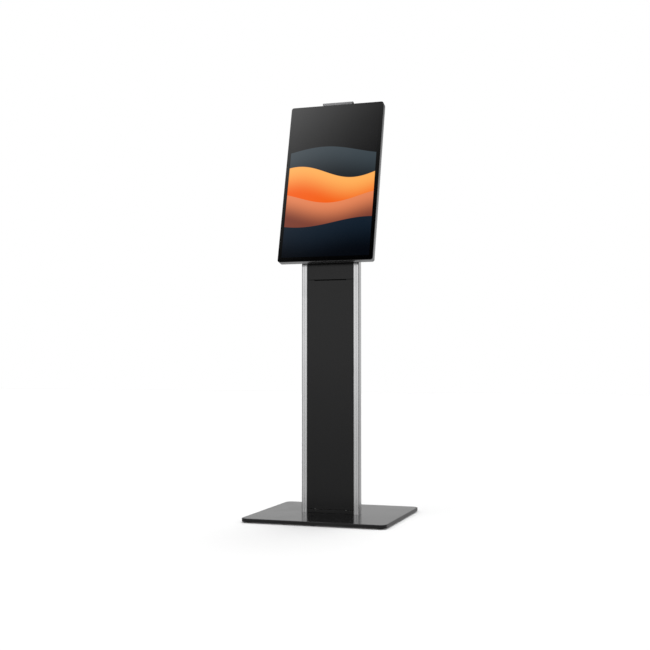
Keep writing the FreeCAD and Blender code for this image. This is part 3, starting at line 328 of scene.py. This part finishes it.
finishes = {
    "base_black": coatedMetal("baseBlack", {
        "pebble": 700.0, "smudgeScale": 5.0,
        "dark": (0.0024, 0.0024, 0.0027), "light": (0.0036, 0.0036, 0.0039),
        "wear": 0.5, "worn": (0.035, 0.035, 0.036), "rough": 0.17, "smudged": 0.20, "specular": 0.42,
        "bump": 0.03, "bumpDepth": 0.0001}),
    "panel_black": coatedMetal("panelBlack", {
        "pebble": 1500.0, "smudgeScale": 4.0,
        "dark": (0.0024, 0.0024, 0.0026), "light": (0.0031, 0.0031, 0.0033),
        "wear": 0.5, "worn": (0.020, 0.020, 0.021), "rough": 0.25, "smudged": 0.23, "specular": 0.40,
        "bump": 0.10, "bumpDepth": 0.0001}),
    "neck_steel": coatedMetal("neckSteel", {
        "pebble": 1100.0, "smudgeScale": 12.0, "dark": (0.014, 0.014, 0.015), "light": (0.022, 0.022, 0.024),
        "wear": 0.8, "worn": (0.16, 0.16, 0.16), "rough": 0.42, "smudged": 0.34, "specular": 0.5,
        "bump": 0.3, "bumpDepth": 0.0002}),
    "black_steel": coatedMetal("blackSteel", {
        "pebble": 1600.0, "smudgeScale": 40.0, "dark": (0.012, 0.012, 0.013), "light": (0.022, 0.022, 0.022),
        "wear": 0.8, "worn": (0.22, 0.21, 0.2), "rough": 0.36, "smudged": 0.28, "specular": 0.6,
        "bump": 0.15, "bumpDepth": 0.0001}),
    "frame_steel": coatedMetal("frameSteel", {
        "pebble": 260.0, "smudgeScale": 16.0, "dark": (0.24, 0.25, 0.26), "light": (0.34, 0.35, 0.36),
        "wear": 0.6, "worn": (0.5, 0.5, 0.5), "rough": 0.45, "smudged": 0.36, "specular": 0.7,
        "bump": 0.2, "bumpDepth": 0.0001}),
    # the post's edge and inner-side colours below are painted shade, not part of the finish
    "post_aluminium": brushedMetal("postAluminium", {
        "stretch": (420.0, 420.0, 0.35), "dark": (0.76, 0.76, 0.765), "light": (0.84, 0.84, 0.845),
        "wear": 0.1, "worn": (0.90, 0.90, 0.90), "edgeShade": (0.34, 0.34, 0.342), "inner": (0.012, 0.012, 0.012),
        "rough": 0.24, "bump": 0.006}),
    "frame_aluminium": brushedMetal("frameAluminium", {
        "stretch": (30.0, 1400.0, 1400.0), "dark": (0.40, 0.40, 0.405), "light": (0.45, 0.45, 0.455),
        "wear": 0.3, "worn": (0.6, 0.6, 0.6), "bar": (0.135, 0.135, 0.137), "rough": 0.25, "bump": 0.05}),
    "zinc_steel": brushedMetal("zincSteel", {
        "stretch": (500.0, 500.0, 500.0), "dark": (0.50, 0.50, 0.48), "light": (0.66, 0.65, 0.60),
        "wear": 0.5, "worn": (0.8, 0.8, 0.8), "rough": 0.34, "bump": 0.10}),
    "perforated_steel": brushedMetal("supplySteel", {
        "stretch": (900.0, 900.0, 14.0), "dark": (0.44, 0.44, 0.44), "light": (0.56, 0.56, 0.56),
        "wear": 0.4, "worn": (0.75, 0.75, 0.75), "rough": 0.38, "bump": 0.12}),
    "port_steel": brushedMetal("portSteel", {
        "stretch": (900.0, 900.0, 900.0), "dark": (0.5, 0.5, 0.5), "light": (0.66, 0.66, 0.66),
        "wear": 0.4, "worn": (0.8, 0.8, 0.8), "rough": 0.28, "bump": 0.06}),
    "sink_aluminium": brushedMetal("sinkAluminium", {
        "stretch": (900.0, 900.0, 20.0), "dark": (0.38, 0.39, 0.41), "light": (0.5, 0.51, 0.53),
        "wear": 0.4, "worn": (0.75, 0.75, 0.76), "rough": 0.42, "bump": 0.1}),
    "chrome_trim": brushedMetal("chromeTrim", {
        "stretch": (700.0, 700.0, 700.0), "dark": (0.66, 0.66, 0.67), "light": (0.76, 0.76, 0.77),
        "wear": 0.3, "worn": (0.9, 0.9, 0.9), "rough": 0.14, "bump": 0.03}),
    "black_plastic": mouldedPlastic("blackPlastic", {
        "grain": 1000.0, "dark": (0.016, 0.016, 0.017), "light": (0.023, 0.023, 0.024),
        "worn": (0.06, 0.06, 0.06), "rough": 0.5, "specular": 0.5, "bump": 0.25}),
    "housing_black": mouldedPlastic("housingBlack", {
        "grain": 760.0, "dark": (0.010, 0.010, 0.011), "light": (0.014, 0.014, 0.015),
        "worn": (0.05, 0.05, 0.05), "rough": 0.42, "specular": 0.5, "bump": 0.25}),
    "key_plastic": mouldedPlastic("keyPlastic", {
        "grain": 1400.0, "dark": (0.045, 0.045, 0.048), "light": (0.06, 0.06, 0.063),
        "worn": (0.12, 0.12, 0.12), "rough": 0.4, "specular": 0.5, "bump": 0.15}),
    "pad_rubber": mouldedPlastic("padRubber", {
        "grain": 600.0, "dark": (0.012, 0.012, 0.012), "light": (0.03, 0.029, 0.028),
        "worn": (0.06, 0.06, 0.058), "rough": 0.8, "specular": 0.3, "bump": 0.4}),
    "gasket_rubber": mouldedPlastic("gasketRubber", {
        "grain": 900.0, "dark": (0.006, 0.006, 0.006), "light": (0.012, 0.012, 0.012),
        "worn": (0.02, 0.02, 0.02), "rough": 0.7, "specular": 0.3, "bump": 0.2}),
    "cable_jacket": mouldedPlastic("cableJacket", {
        "grain": 900.0, "dark": (0.012, 0.012, 0.012), "light": (0.02, 0.02, 0.02),
        "worn": (0.04, 0.04, 0.04), "rough": 0.46, "specular": 0.5, "bump": 0.1}),
    "lcd_film": mouldedPlastic("lcdFilm", {
        "grain": 300.0, "dark": (0.02, 0.02, 0.024), "light": (0.03, 0.03, 0.036),
        "worn": (0.05, 0.05, 0.05), "rough": 0.3, "specular": 0.5, "bump": 0.05}),
    "board_green": circuitBoard("boardGreen", {
        "mask": (0.012, 0.07, 0.03), "copper": (0.03, 0.13, 0.055), "traces": 160.0, "smudgeScale": 30.0,
        "rough": 0.28, "smudged": 0.4, "bump": 0.4, "bumpDepth": 0.00005}),
}


# the lit picture behind the glass: plain waves, each laid over the one before
# levels and swings are in screen widths from the picture's lower edge
picture = {"width": 0.3363, "height": 0.5979, "low": 0.0170, "brightness": 1.0, "edge": 0.004,
           "ground": (0.0012, 0.0012, 0.0014)}
waves = (
    {"level": 1.25, "swing": 0.06, "bend": 4.0, "start": 0.0, "fade": 0.40,
     "crest": (0.036, 0.052, 0.064), "foot": (0.006, 0.009, 0.012)},
    {"level": 1.00, "swing": 0.08, "bend": 5.0, "start": 1.0, "fade": 0.35,
     "crest": (1.0, 0.44, 0.10), "foot": (0.90, 0.12, 0.004)},
    {"level": 0.70, "swing": 0.07, "bend": 4.5, "start": 2.5, "fade": 0.30,
     "crest": (0.80, 0.24, 0.10), "foot": (0.20, 0.05, 0.030)},
    {"level": 0.40, "swing": 0.05, "bend": 4.0, "start": 4.0, "fade": 0.40,
     "crest": (0.006, 0.014, 0.026), "foot": (0.001, 0.002, 0.004)})


def makePictureGroup():
    group, start, end = newGroup("screenPicture", [("Vector", "Vector", None)], [("Color", "Color")])
    parts = addNode(group, "ShaderNodeSeparateXYZ", {"Vector": start["Vector"]}).outputs
    across, up = parts["X"], parts["Y"]
    shown = picture["ground"]
    for wave in waves:
        angle = mathNode(group, "MULTIPLY_ADD", across, wave["bend"], wave["start"])
        line = mathNode(group, "MULTIPLY_ADD", mathNode(group, "SINE", angle), wave["swing"], wave["level"])
        depth = mathNode(group, "SUBTRACT", line, up)
        shade = remap(group, depth, 0.0, wave["fade"], 0.0, 1.0, smooth=True)
        colour = mixColour(group, shade, wave["crest"], wave["foot"])
        shown = mixColour(group, remap(group, depth, 0.0, picture["edge"], 0.0, 1.0), shown, colour)
    wire(group, shown, end["Color"])
    return group


pictureGroup = makePictureGroup()


glassLook = {"dark": (0.0008, 0.0008, 0.0009), "light": (0.0016, 0.0016, 0.0018),
             "clean": 0.03, "smudged": 0.06, "smudgeScale": 9.0, "frontDepth": 0.0006}


def screenGlass(name, look):
    material, tree, shader, place = newMaterial(name)
    parts = headSpot(tree, place)
    width, height, low = picture["width"], picture["height"], picture["low"]
    flat = addNode(tree, "ShaderNodeCombineXYZ", {
        "X": remap(tree, parts["X"], -width / 2, width / 2, 0.0, 1.0),
        "Y": remap(tree, parts["Z"], low, low + height, 0.0, height / width)})
    colour = useGroup(tree, pictureGroup, Vector=flat.outputs[0])["Color"]
    inside = mathNode(tree, "MULTIPLY", mathNode(tree, "COMPARE", parts["X"], 0.0, width / 2),
                      mathNode(tree, "COMPARE", parts["Z"], low + height / 2, height / 2))
    lit = mathNode(tree, "MULTIPLY", inside, mathNode(tree, "LESS_THAN", parts["Y"], look["frontDepth"]))
    touch = useGroup(tree, handlingGroup, Vector=place, Scale=look["smudgeScale"])["Smudge"]
    wire(tree, mixColour(tree, touch, look["dark"], look["light"]), shader.inputs["Base Color"])
    wire(tree, remap(tree, touch, 0.0, 1.0, look["clean"], look["smudged"]), shader.inputs["Roughness"])
    wire(tree, mixColour(tree, lit, (0.0, 0.0, 0.0), colour), shader.inputs["Emission Color"])
    shader.inputs["Emission Strength"].default_value = picture["brightness"]
    return material


finishes["screen_glass"] = screenGlass("screenGlass", glassLook)
print("finishes ready:", len(finishes))


# pieces
def place(piece, node):
    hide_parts(node)
    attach(piece, bodyOf[node])
    return piece


def newPiece(name, data, slotName):
    piece = bpy.data.objects.new(name, data)
    scene.collection.objects.link(piece)
    data.materials.clear()
    data.materials.append(finishes[slotName])
    return piece


def bakeModifiers(piece):
    graph = bpy.context.evaluated_depsgraph_get()
    finished = bpy.data.meshes.new_from_object(piece.evaluated_get(graph))
    piece.modifiers.clear()
    piece.data = finished
    return finished


# sheet and machined pieces: the same shape with its edges broken, and the broken edges marked for wear
def softEdged(node, width, segments=2, angle=40):
    shape = bmesh.new()
    shape.from_mesh(nodes[node].data)
    bmesh.ops.remove_doubles(shape, verts=shape.verts, dist=1e-6)
    bmesh.ops.dissolve_limit(shape, angle_limit=math.radians(0.5), verts=shape.verts, edges=shape.edges)
    for face in shape.faces:
        face.smooth = True
        face.material_index = 0
    data = bpy.data.meshes.new(node)
    shape.to_mesh(data)
    shape.free()
    piece = newPiece(f"{node}_shell", data, slotOf[node])
    data.materials.append(finishes[slotOf[node]])
    bevel = piece.modifiers.new("edges", "BEVEL")
    bevel.width = width
    bevel.segments = segments
    bevel.limit_method = "ANGLE"
    bevel.angle_limit = math.radians(angle)
    bevel.material = 1
    weighted = piece.modifiers.new("normals", "WEIGHTED_NORMAL")
    weighted.keep_sharp = True
    weighted.weight = 80
    finished = bakeModifiers(piece)
    edge = finished.attributes.new("roundedEdge", "FLOAT", "FACE")
    for face in finished.polygons:
        edge.data[face.index].value = face.material_index
        face.material_index = 0
    finished.materials.pop(index=1)
    return place(piece, node)


softened = {"base_plate": 0.0004, "column_foot": 0.0006, "left_post": 0.0004, "right_post": 0.0004,
            "kick_strip": 0.0004, "lower_front_panel": 0.0004, "upper_front_panel": 0.0004,
            "rear_door": 0.0004, "rear_lower_panel": 0.0004, "rear_upper_panel": 0.0004,
            "top_cap": 0.0006, "neck_mount_plate": 0.0005,
            "left_neck_arm": 0.0006, "right_neck_arm": 0.0006, "neck_shroud": 0.0008, "tilt_bracket": 0.0006,
            "rear_housing": 0.0006, "top_bar": 0.0004, "top_bar_ends": 0.0005, "cover_glass": 0.0002,
            "lock_barrel": 0.0004, "lock_plug": 0.0003, "lock_cam": 0.0003, "mains_inlet": 0.0004,
            "mains_rocker": 0.0004, "hinge_fixed_leaves": 0.0003, "hinge_door_leaves": 0.0003,
            "pivot_bolts": 0.0004, "pivot_nuts": 0.0003, "friction_washers": 0.0002, "io_ports": 0.0002,
            "post_ties": 0.0004, "supply_bracket": 0.0003, "power_supply": 0.0005, "lead_clips": 0.0004,
            "lead_coupler": 0.0004, "foot_nuts": 0.0003, "neck_bolts": 0.0003}
for node, width in softened.items():
    softEdged(node, width)
print("edges broken on", len(softened), "pieces")


# geometry trees
def runTree(name, tree, points, slotName, **values):
    data = bpy.data.meshes.new(name)
    data.from_pydata([tuple(point) for point in points], [], [])
    piece = newPiece(name, data, slotName)
    grow = piece.modifiers.new("grow", "NODES")
    grow.node_group = tree
    values["Material"] = finishes[slotName]
    for item in tree.interface.items_tree:
        if item.in_out == "INPUT" and item.name in values:
            grow[item.identifier] = values[item.name]
    bakeModifiers(piece)
    return piece


def finishTree(tree, geometry, start, end):
    solid = addNode(tree, "GeometryNodeRealizeInstances", {"Geometry": geometry})
    painted = addNode(tree, "GeometryNodeSetMaterial", {"Geometry": solid.outputs[0],
                                                        "Material": start["Material"]})
    wire(tree, painted.outputs[0], end["Geometry"])


def geometryTree(name, inputs):
    inputs = [("Geometry", "Geometry", None), *inputs, ("Material", "Material", None)]
    return newGroup(name, inputs, [("Geometry", "Geometry")], "GeometryNodeTree")


def moved(tree, geometry, **values):
    return addNode(tree, "GeometryNodeTransform", {"Geometry": geometry, **values}).outputs[0]


def upBy(tree, distance):
    return addNode(tree, "ShaderNodeCombineXYZ", {"Z": distance}).outputs[0]


def joined(tree, operation, *shapes):
    node = addNode(tree, "GeometryNodeMeshBoolean", operation=operation, solver="EXACT")
    target = 0 if operation == "DIFFERENCE" else 1
    wire(tree, shapes[0], node.inputs[target])
    for shape in shapes[1:]:
        wire(tree, shape, node.inputs[1])
    return node.outputs["Mesh"]


# a socket screw: rim, domed crown and shank in one, with a six-sided recess
def makeScrewTree():
    lengths = [("Head Radius", "Float", 0.004), ("Head Height", "Float", 0.002),
               ("Shank Radius", "Float", 0.002), ("Shank Length", "Float", 0.01),
               ("Socket Radius", "Float", 0.0017), ("Turn", "Vector", (0, 0, 0))]
    tree, start, end = geometryTree("socketScrew", lengths)
    radius, height = start["Head Radius"], start["Head Height"]
    rimHeight = mathNode(tree, "MULTIPLY", height, 0.6)
    crownHeight = mathNode(tree, "MULTIPLY", height, 0.4)
    rim = addNode(tree, "GeometryNodeMeshCylinder", {"Vertices": 32, "Radius": radius, "Depth": rimHeight})
    rim = moved(tree, rim.outputs["Mesh"], Translation=upBy(tree, mathNode(tree, "MULTIPLY", rimHeight, 0.5)))
    crown = addNode(tree, "GeometryNodeMeshCone", {
        "Vertices": 32, "Radius Bottom": radius, "Depth": crownHeight,
        "Radius Top": mathNode(tree, "MULTIPLY", radius, 0.72)})
    crown = moved(tree, crown.outputs["Mesh"], Translation=upBy(tree, rimHeight))
    length = mathNode(tree, "ADD", start["Shank Length"], rimHeight)
    shank = addNode(tree, "GeometryNodeMeshCylinder", {"Vertices": 20, "Radius": start["Shank Radius"],
                                                       "Depth": length})
    middle = mathNode(tree, "MULTIPLY", mathNode(tree, "SUBTRACT", rimHeight, start["Shank Length"]), 0.5)
    shank = moved(tree, shank.outputs["Mesh"], Translation=upBy(tree, middle))
    body = joined(tree, "UNION", rim, crown, shank)
    recess = addNode(tree, "GeometryNodeMeshCylinder", {"Vertices": 6, "Radius": start["Socket Radius"],
                                                        "Depth": height})
    recess = moved(tree, recess.outputs["Mesh"], Translation=upBy(tree, height))
    screw = joined(tree, "DIFFERENCE", body, recess)
    spread = addNode(tree, "GeometryNodeInstanceOnPoints", {"Points": start["Geometry"], "Instance": screw,
                                                            "Rotation": start["Turn"]})
    finishTree(tree, spread.outputs[0], start, end)
    return tree


# a rubber foot: a short drum whose side is drawn in between its ribs
def makePadTree():
    sizes = [("Radius", "Float", 0.012), ("Height", "Float", 0.004), ("Ribs", "Float", 18.0),
             ("Rib Depth", "Float", 0.0005), ("Foot Inset", "Float", 0.001)]
    tree, start, end = geometryTree("ribbedPad", sizes)
    drum = addNode(tree, "GeometryNodeMeshCylinder", {"Vertices": 144, "Side Segments": 4, "Fill Segments": 3,
                                                      "Radius": start["Radius"], "Depth": start["Height"]})
    spot = addNode(tree, "GeometryNodeInputPosition").outputs[0]
    parts = addNode(tree, "ShaderNodeSeparateXYZ", {"Vector": spot}).outputs
    angle = mathNode(tree, "ARCTAN2", parts["Y"], parts["X"])
    wave = mathNode(tree, "SINE", mathNode(tree, "MULTIPLY", angle, start["Ribs"]))
    hollow = remap(tree, wave, -0.3, 0.3, 0.0, start["Rib Depth"])
    level = mathNode(tree, "DIVIDE", parts["Z"], start["Height"])
    waist = remap(tree, mathNode(tree, "ABSOLUTE", level), 0.45, 0.3, 0.0, 1.0)
    foot = mathNode(tree, "MULTIPLY", remap(tree, level, -0.3, -0.5, 0.0, 1.0), start["Foot Inset"])
    drawIn = mathNode(tree, "ADD", mathNode(tree, "MULTIPLY", hollow, waist), foot)
    factor = mathNode(tree, "SUBTRACT", 1.0, mathNode(tree, "DIVIDE", drawIn, start["Radius"]))
    shaped = addNode(tree, "ShaderNodeCombineXYZ", {"X": mathNode(tree, "MULTIPLY", parts["X"], factor),
                                                    "Y": mathNode(tree, "MULTIPLY", parts["Y"], factor),
                                                    "Z": parts["Z"]})
    drum = addNode(tree, "GeometryNodeSetPosition", {"Geometry": drum.outputs["Mesh"],
                                                     "Position": shaped.outputs[0]})
    halfHeight = mathNode(tree, "MULTIPLY", start["Height"], 0.5)
    raised = moved(tree, drum.outputs[0], Translation=upBy(tree, halfHeight))
    spread = addNode(tree, "GeometryNodeInstanceOnPoints", {"Points": start["Geometry"], "Instance": raised})
    finishTree(tree, spread.outputs[0], start, end)
    return tree


# a rounded hoop swept round the display
def makeHoopTree():
    sizes = [("Width", "Float", 0.36), ("Height", "Float", 0.62), ("Corner", "Float", 0.008),
             ("Wall", "Float", 0.003), ("Depth", "Float", 0.022), ("Edge", "Float", 0.0006)]
    tree, start, end = geometryTree("sweptHoop", sizes)
    path = addNode(tree, "GeometryNodeCurvePrimitiveQuadrilateral", {"Width": start["Width"],
                                                                     "Height": start["Height"]})
    path = addNode(tree, "GeometryNodeFilletCurve", {"Curve": path.outputs[0], "Count": 10,
                                                     "Radius": start["Corner"]}, mode="POLY")
    section = addNode(tree, "GeometryNodeCurvePrimitiveQuadrilateral", {"Width": start["Wall"],
                                                                        "Height": start["Depth"]})
    section = addNode(tree, "GeometryNodeFilletCurve", {"Curve": section.outputs[0], "Count": 3,
                                                        "Radius": start["Edge"]}, mode="POLY")
    swept = addNode(tree, "GeometryNodeCurveToMesh", {"Curve": path.outputs[0],
                                                      "Profile Curve": section.outputs[0]})
    finishTree(tree, swept.outputs[0], start, end)
    return tree


screwTree = makeScrewTree()
padTree = makePadTree()
hoopTree = makeHoopTree()


def solidsOf(node, space=Matrix()):
    # lowest and highest corners of each separate solid of a node, seen in another space
    shape = bmesh.new()
    shape.from_mesh(nodes[node].data)
    shape.transform(space)
    bmesh.ops.remove_doubles(shape, verts=shape.verts, dist=1e-6)
    left = set(shape.verts)
    corners = []
    while left:
        found = [left.pop()]
        for vert in found:
            for edge in vert.link_edges:
                other = edge.other_vert(vert)
                if other in left:
                    left.remove(other)
                    found.append(other)
        columns = list(zip(*(vert.co for vert in found)))
        corners.append((Vector(map(min, columns)), Vector(map(max, columns))))
    shape.free()
    return sorted(corners, key=lambda pair: tuple(round(value, 4) for value in pair[0]))


def outwards(piece):
    shape = bmesh.new()
    shape.from_mesh(piece.data)
    bmesh.ops.remove_doubles(shape, verts=shape.verts, dist=1e-7)
    if shape.calc_volume(signed=True) < 0:
        bmesh.ops.reverse_faces(shape, faces=shape.faces)
    shape.to_mesh(piece.data)
    shape.free()


def shadeSmooth(piece, angle=32):
    for face in piece.data.polygons:
        face.use_smooth = True
    piece.data.set_sharp_from_angle(angle=math.radians(angle))


pads = {"Ribs": 18.0, "Rib Depth": 0.0005, "Foot Inset": 0.0010}


def makePads():
    corners = solidsOf("base_pads")
    low, high = corners[0]
    spots = [((lowest + highest) / 2).to_2d().to_3d() for lowest, highest in corners]
    piece = runTree("ribbed_pads", padTree, spots, "pad_rubber", Radius=(high.x - low.x) / 2,
                    Height=high.z - low.z, **pads)
    outwards(piece)
    shadeSmooth(piece)
    place(piece, "base_pads")


# head heights and socket sizes of the screws on the back
screws = {"rear_screws": {"headHeight": 0.0020, "socket": 0.42, "shankRadius": 0.0022, "space": Matrix()},
          "housing_screws": {"headHeight": 0.0016, "socket": 0.45, "shankRadius": 0.0015, "space": headPlace},
          "vesa_screws": {"headHeight": 0.0024, "socket": 0.45, "shankRadius": 0.0020, "space": headPlace}}


def makeScrews(node, look):
    space = look["space"]
    corners = solidsOf(node, space.inverted())
    low, high = corners[0]
    headRadius = (high.x - low.x) / 2
    seats = [Vector(((a.x + b.x) / 2, b.y - look["headHeight"], (a.z + b.z) / 2)) for a, b in corners]
    piece = runTree(f"{node}_set", screwTree, seats, slotOf[node], **{
        "Head Radius": headRadius, "Head Height": look["headHeight"], "Shank Radius": look["shankRadius"],
        "Shank Length": high.y - low.y - look["headHeight"], "Socket Radius": headRadius * look["socket"],
        "Turn": (-math.pi / 2, 0, 0)})
    piece.data.transform(space)
    outwards(piece)
    shadeSmooth(piece)
    place(piece, node)


hoop = {"wall": 0.003, "corner": 0.0087, "edge": 0.0007}


def makeMidFrame():
    low, high = solidsOf("mid_frame", headPlace.inverted())[0]
    wall = hoop["wall"]
    piece = runTree("mid_frame_hoop", hoopTree, [(0, 0, 0)], "frame_aluminium", Width=high.x - low.x - wall,
                    Height=high.z - low.z - wall, Corner=hoop["corner"] - wall / 2, Wall=wall,
                    Depth=high.y - low.y, Edge=hoop["edge"])
    upright = Matrix.Translation((low + high) / 2) @ Matrix.Rotation(math.pi / 2, 4, "X")
    piece.data.transform(headPlace @ upright)
    outwards(piece)
    shadeSmooth(piece)
    place(piece, "mid_frame")


makePads()
for node, look in screws.items():
    makeScrews(node, look)
makeMidFrame()
print("pads, screws and frame hoop grown")


# keys: turned caps with a dished top
keyCap = {"flange": 0.0055, "seat": 0.0016, "stem": 0.0040, "round": 0.0006, "dish": 0.0004, "steps": 40}


def turnedMesh(name, profile, steps):
    shape = bmesh.new()
    rings = []
    for radius, height in profile:
        if radius == 0:
            rings.append([shape.verts.new((0, height, 0))] * steps)
            continue
        turns = [2 * math.pi * step / steps for step in range(steps)]
        spots = [(radius * math.cos(turn), height, radius * math.sin(turn)) for turn in turns]
        rings.append([shape.verts.new(spot) for spot in spots])
    for lower, upper in zip(rings, rings[1:]):
        for step in range(steps):
            following = (step + 1) % steps
            corners = [lower[step], lower[following], upper[following], upper[step]]
            shape.faces.new(list(dict.fromkeys(corners)))
    data = bpy.data.meshes.new(name)
    shape.to_mesh(data)
    shape.free()
    return data


def makeKey(node):
    low, high = solidsOf(node, headPlace.inverted())[0]
    top, edge = high.y - low.y, keyCap["round"]
    stem = keyCap["stem"]
    rim = [(stem - edge + edge * math.sin(turn), top - edge + edge * math.cos(turn))
           for turn in (math.pi / 2, math.pi / 3, math.pi / 6, 0)]
    dish = [(stem * share, top - keyCap["dish"] * (1 - (share / 0.8) ** 2)) for share in (0.7, 0.5, 0.25)]
    profile = [(0, 0), (keyCap["flange"], 0), (keyCap["flange"], keyCap["seat"]), (stem, keyCap["seat"]),
               *rim, *dish, (0, top - keyCap["dish"])]
    piece = newPiece(f"{node}_cap", turnedMesh(f"{node}_cap", profile, keyCap["steps"]), slotOf[node])
    middle = Vector(((low.x + high.x) / 2, low.y, (low.z + high.z) / 2))
    piece.data.transform(headPlace @ Matrix.Translation(middle))
    outwards(piece)
    shadeSmooth(piece)
    place(piece, node)


keys = ("power_button", "menu_button", "plus_button", "minus_button")
for node in keys:
    makeKey(node)
print("keys turned")

# every other node keeps its own shape
replaced = {*softened, *screws, *keys, "base_pads", "mid_frame"}
for node in nodes:
    if node not in replaced:
        for holder in nodes[node].material_slots:
            holder.material = finishes[slotOf[node]]


# floor, light and camera
floorLook = {"size": 30, "drop": 0.0003, "albedo": 0.665, "glow": 0.05, "mirrored": 0.44}


def makeFloor():
    size = floorLook["size"] / 2
    data = bpy.data.meshes.new("studioFloor")
    corners = [(-size, -size), (size, -size), (size, size), (-size, size)]
    data.from_pydata([(x, y, -floorLook["drop"]) for x, y in corners], [], [(0, 1, 2, 3)])
    floor = bpy.data.objects.new("studioFloor", data)
    scene.collection.objects.link(floor)
    material, tree, shader, spot = newMaterial("studioFloor")
    shader.inputs["Base Color"].default_value = (floorLook["albedo"],) * 3 + (1,)
    shader.inputs["Roughness"].default_value = 0.9
    shader.inputs["Specular IOR Level"].default_value = 0.0
    shader.inputs["Emission Color"].default_value = (1, 1, 1, 1)
    shader.inputs["Emission Strength"].default_value = floorLook["glow"]
    plain = addNode(tree, "ShaderNodeEmission", {"Strength": floorLook["mirrored"]})
    seen = addNode(tree, "ShaderNodeLightPath").outputs["Is Camera Ray"]
    choice = addNode(tree, "ShaderNodeMixShader", {"Fac": seen})
    wire(tree, plain.outputs[0], choice.inputs[1])
    wire(tree, shader.outputs[0], choice.inputs[2])
    wire(tree, choice.outputs[0], tree.nodes["Material Output"].inputs["Surface"])
    data.materials.append(material)


studio = {"boxCentre": (-0.51, -0.418, 0.752), "boxEdge": 0.88, "boxRun": 0.0635, "boxPower": 3.3,
          "boxBright": 2.3, "horizonTop": 0.40, "horizonFull": 0.10, "horizonBright": 0.95,
          "backFrom": -0.3, "backFull": 0.5, "backBright": 0.78, "rightFull": 0.35,
          "rightBack": 0.4, "sideBright": 0.52, "edgeFrom": 0.45,
          "edgeFull": 0.85, "edgeDim": 0.35, "boxMost": 1.25, "ambient": 1.1}


def makeStudio():
    world = bpy.data.worlds.new("studio")
    scene.world = world
    world.use_nodes = True
    tree = world.node_tree
    tree.nodes.clear()
    direction = addNode(tree, "ShaderNodeTexCoord").outputs["Generated"]
    parts = addNode(tree, "ShaderNodeSeparateXYZ", {"Vector": direction}).outputs
    # a band of light round the horizon, dimmer behind and dimmest behind to the right
    band = remap(tree, parts["Z"], studio["horizonTop"], studio["horizonFull"], 0.0, 1.0, smooth=True)
    behind = remap(tree, parts["Y"], studio["backFrom"], studio["backFull"], studio["horizonBright"],
                   studio["backBright"], smooth=True)
    side = mathNode(tree, "MULTIPLY", remap(tree, parts["X"], 0.0, studio["rightFull"], 0.0, 1.0, smooth=True),
                    remap(tree, parts["Y"], 0.0, studio["rightBack"], 0.0, 1.0, smooth=True))
    level = mathNode(tree, "MULTIPLY", band, mixFloat(tree, side, behind, studio["sideBright"]))
    sideways = mathNode(tree, "ABSOLUTE", parts["X"])
    dimmed = remap(tree, sideways, studio["edgeFrom"], studio["edgeFull"], 1.0, studio["edgeDim"], smooth=True)
    level = mathNode(tree, "MULTIPLY", level, dimmed)
    # a soft box over the left shoulder
    towards = addNode(tree, "ShaderNodeVectorMath", operation="DOT_PRODUCT")
    wire(tree, direction, towards.inputs[0])
    towards.inputs[1].default_value = studio["boxCentre"]
    box = mathNode(tree, "SUBTRACT", towards.outputs["Value"], studio["boxEdge"])
    box = mathNode(tree, "DIVIDE", box, studio["boxRun"])
    box = mathNode(tree, "MINIMUM", mathNode(tree, "MAXIMUM", box, 0.0), studio["boxMost"])
    box = mathNode(tree, "MULTIPLY", mathNode(tree, "POWER", box, studio["boxPower"]), studio["boxBright"])
    mirrored = mathNode(tree, "ADD", level, box)
    rays = addNode(tree, "ShaderNodeLightPath").outputs
    soft = mixFloat(tree, rays["Is Diffuse Ray"], mirrored, studio["ambient"])
    light = addNode(tree, "ShaderNodeBackground", {
        "Strength": mixFloat(tree, rays["Is Camera Ray"], soft, 1.0)})
    output = addNode(tree, "ShaderNodeOutputWorld")
    wire(tree, light.outputs[0], output.inputs["Surface"])
    light.inputs["Color"].default_value = (1, 1, 1, 1)
    scene.view_settings.view_transform = "Standard"


lamp = {"strength": 1.2, "spread": 28, "fromBehind": 24}


def makeLamp():
    data = bpy.data.lights.new("backLamp", "SUN")
    data.energy = lamp["strength"]
    data.angle = math.radians(lamp["spread"])
    light = bpy.data.objects.new("backLamp", data)
    scene.collection.objects.link(light)
    light.rotation_euler = (math.radians(-lamp["fromBehind"]), 0, 0)


view = {"spot": (1.21186, -3.77064, 0.57001), "turn": 18.228, "rise": 2.004, "lens": 59.03, "sensor": 36}


def makeCamera():
    data = bpy.data.cameras.new("camera")
    data.lens = view["lens"]
    data.sensor_width = view["sensor"]
    camera = bpy.data.objects.new("camera", data)
    scene.collection.objects.link(camera)
    camera.location = view["spot"]
    camera.rotation_euler = (math.radians(90 + view["rise"]), 0, math.radians(view["turn"]))
    scene.camera = camera


makeFloor()
makeStudio()
makeLamp()
makeCamera()
print("studio ready")
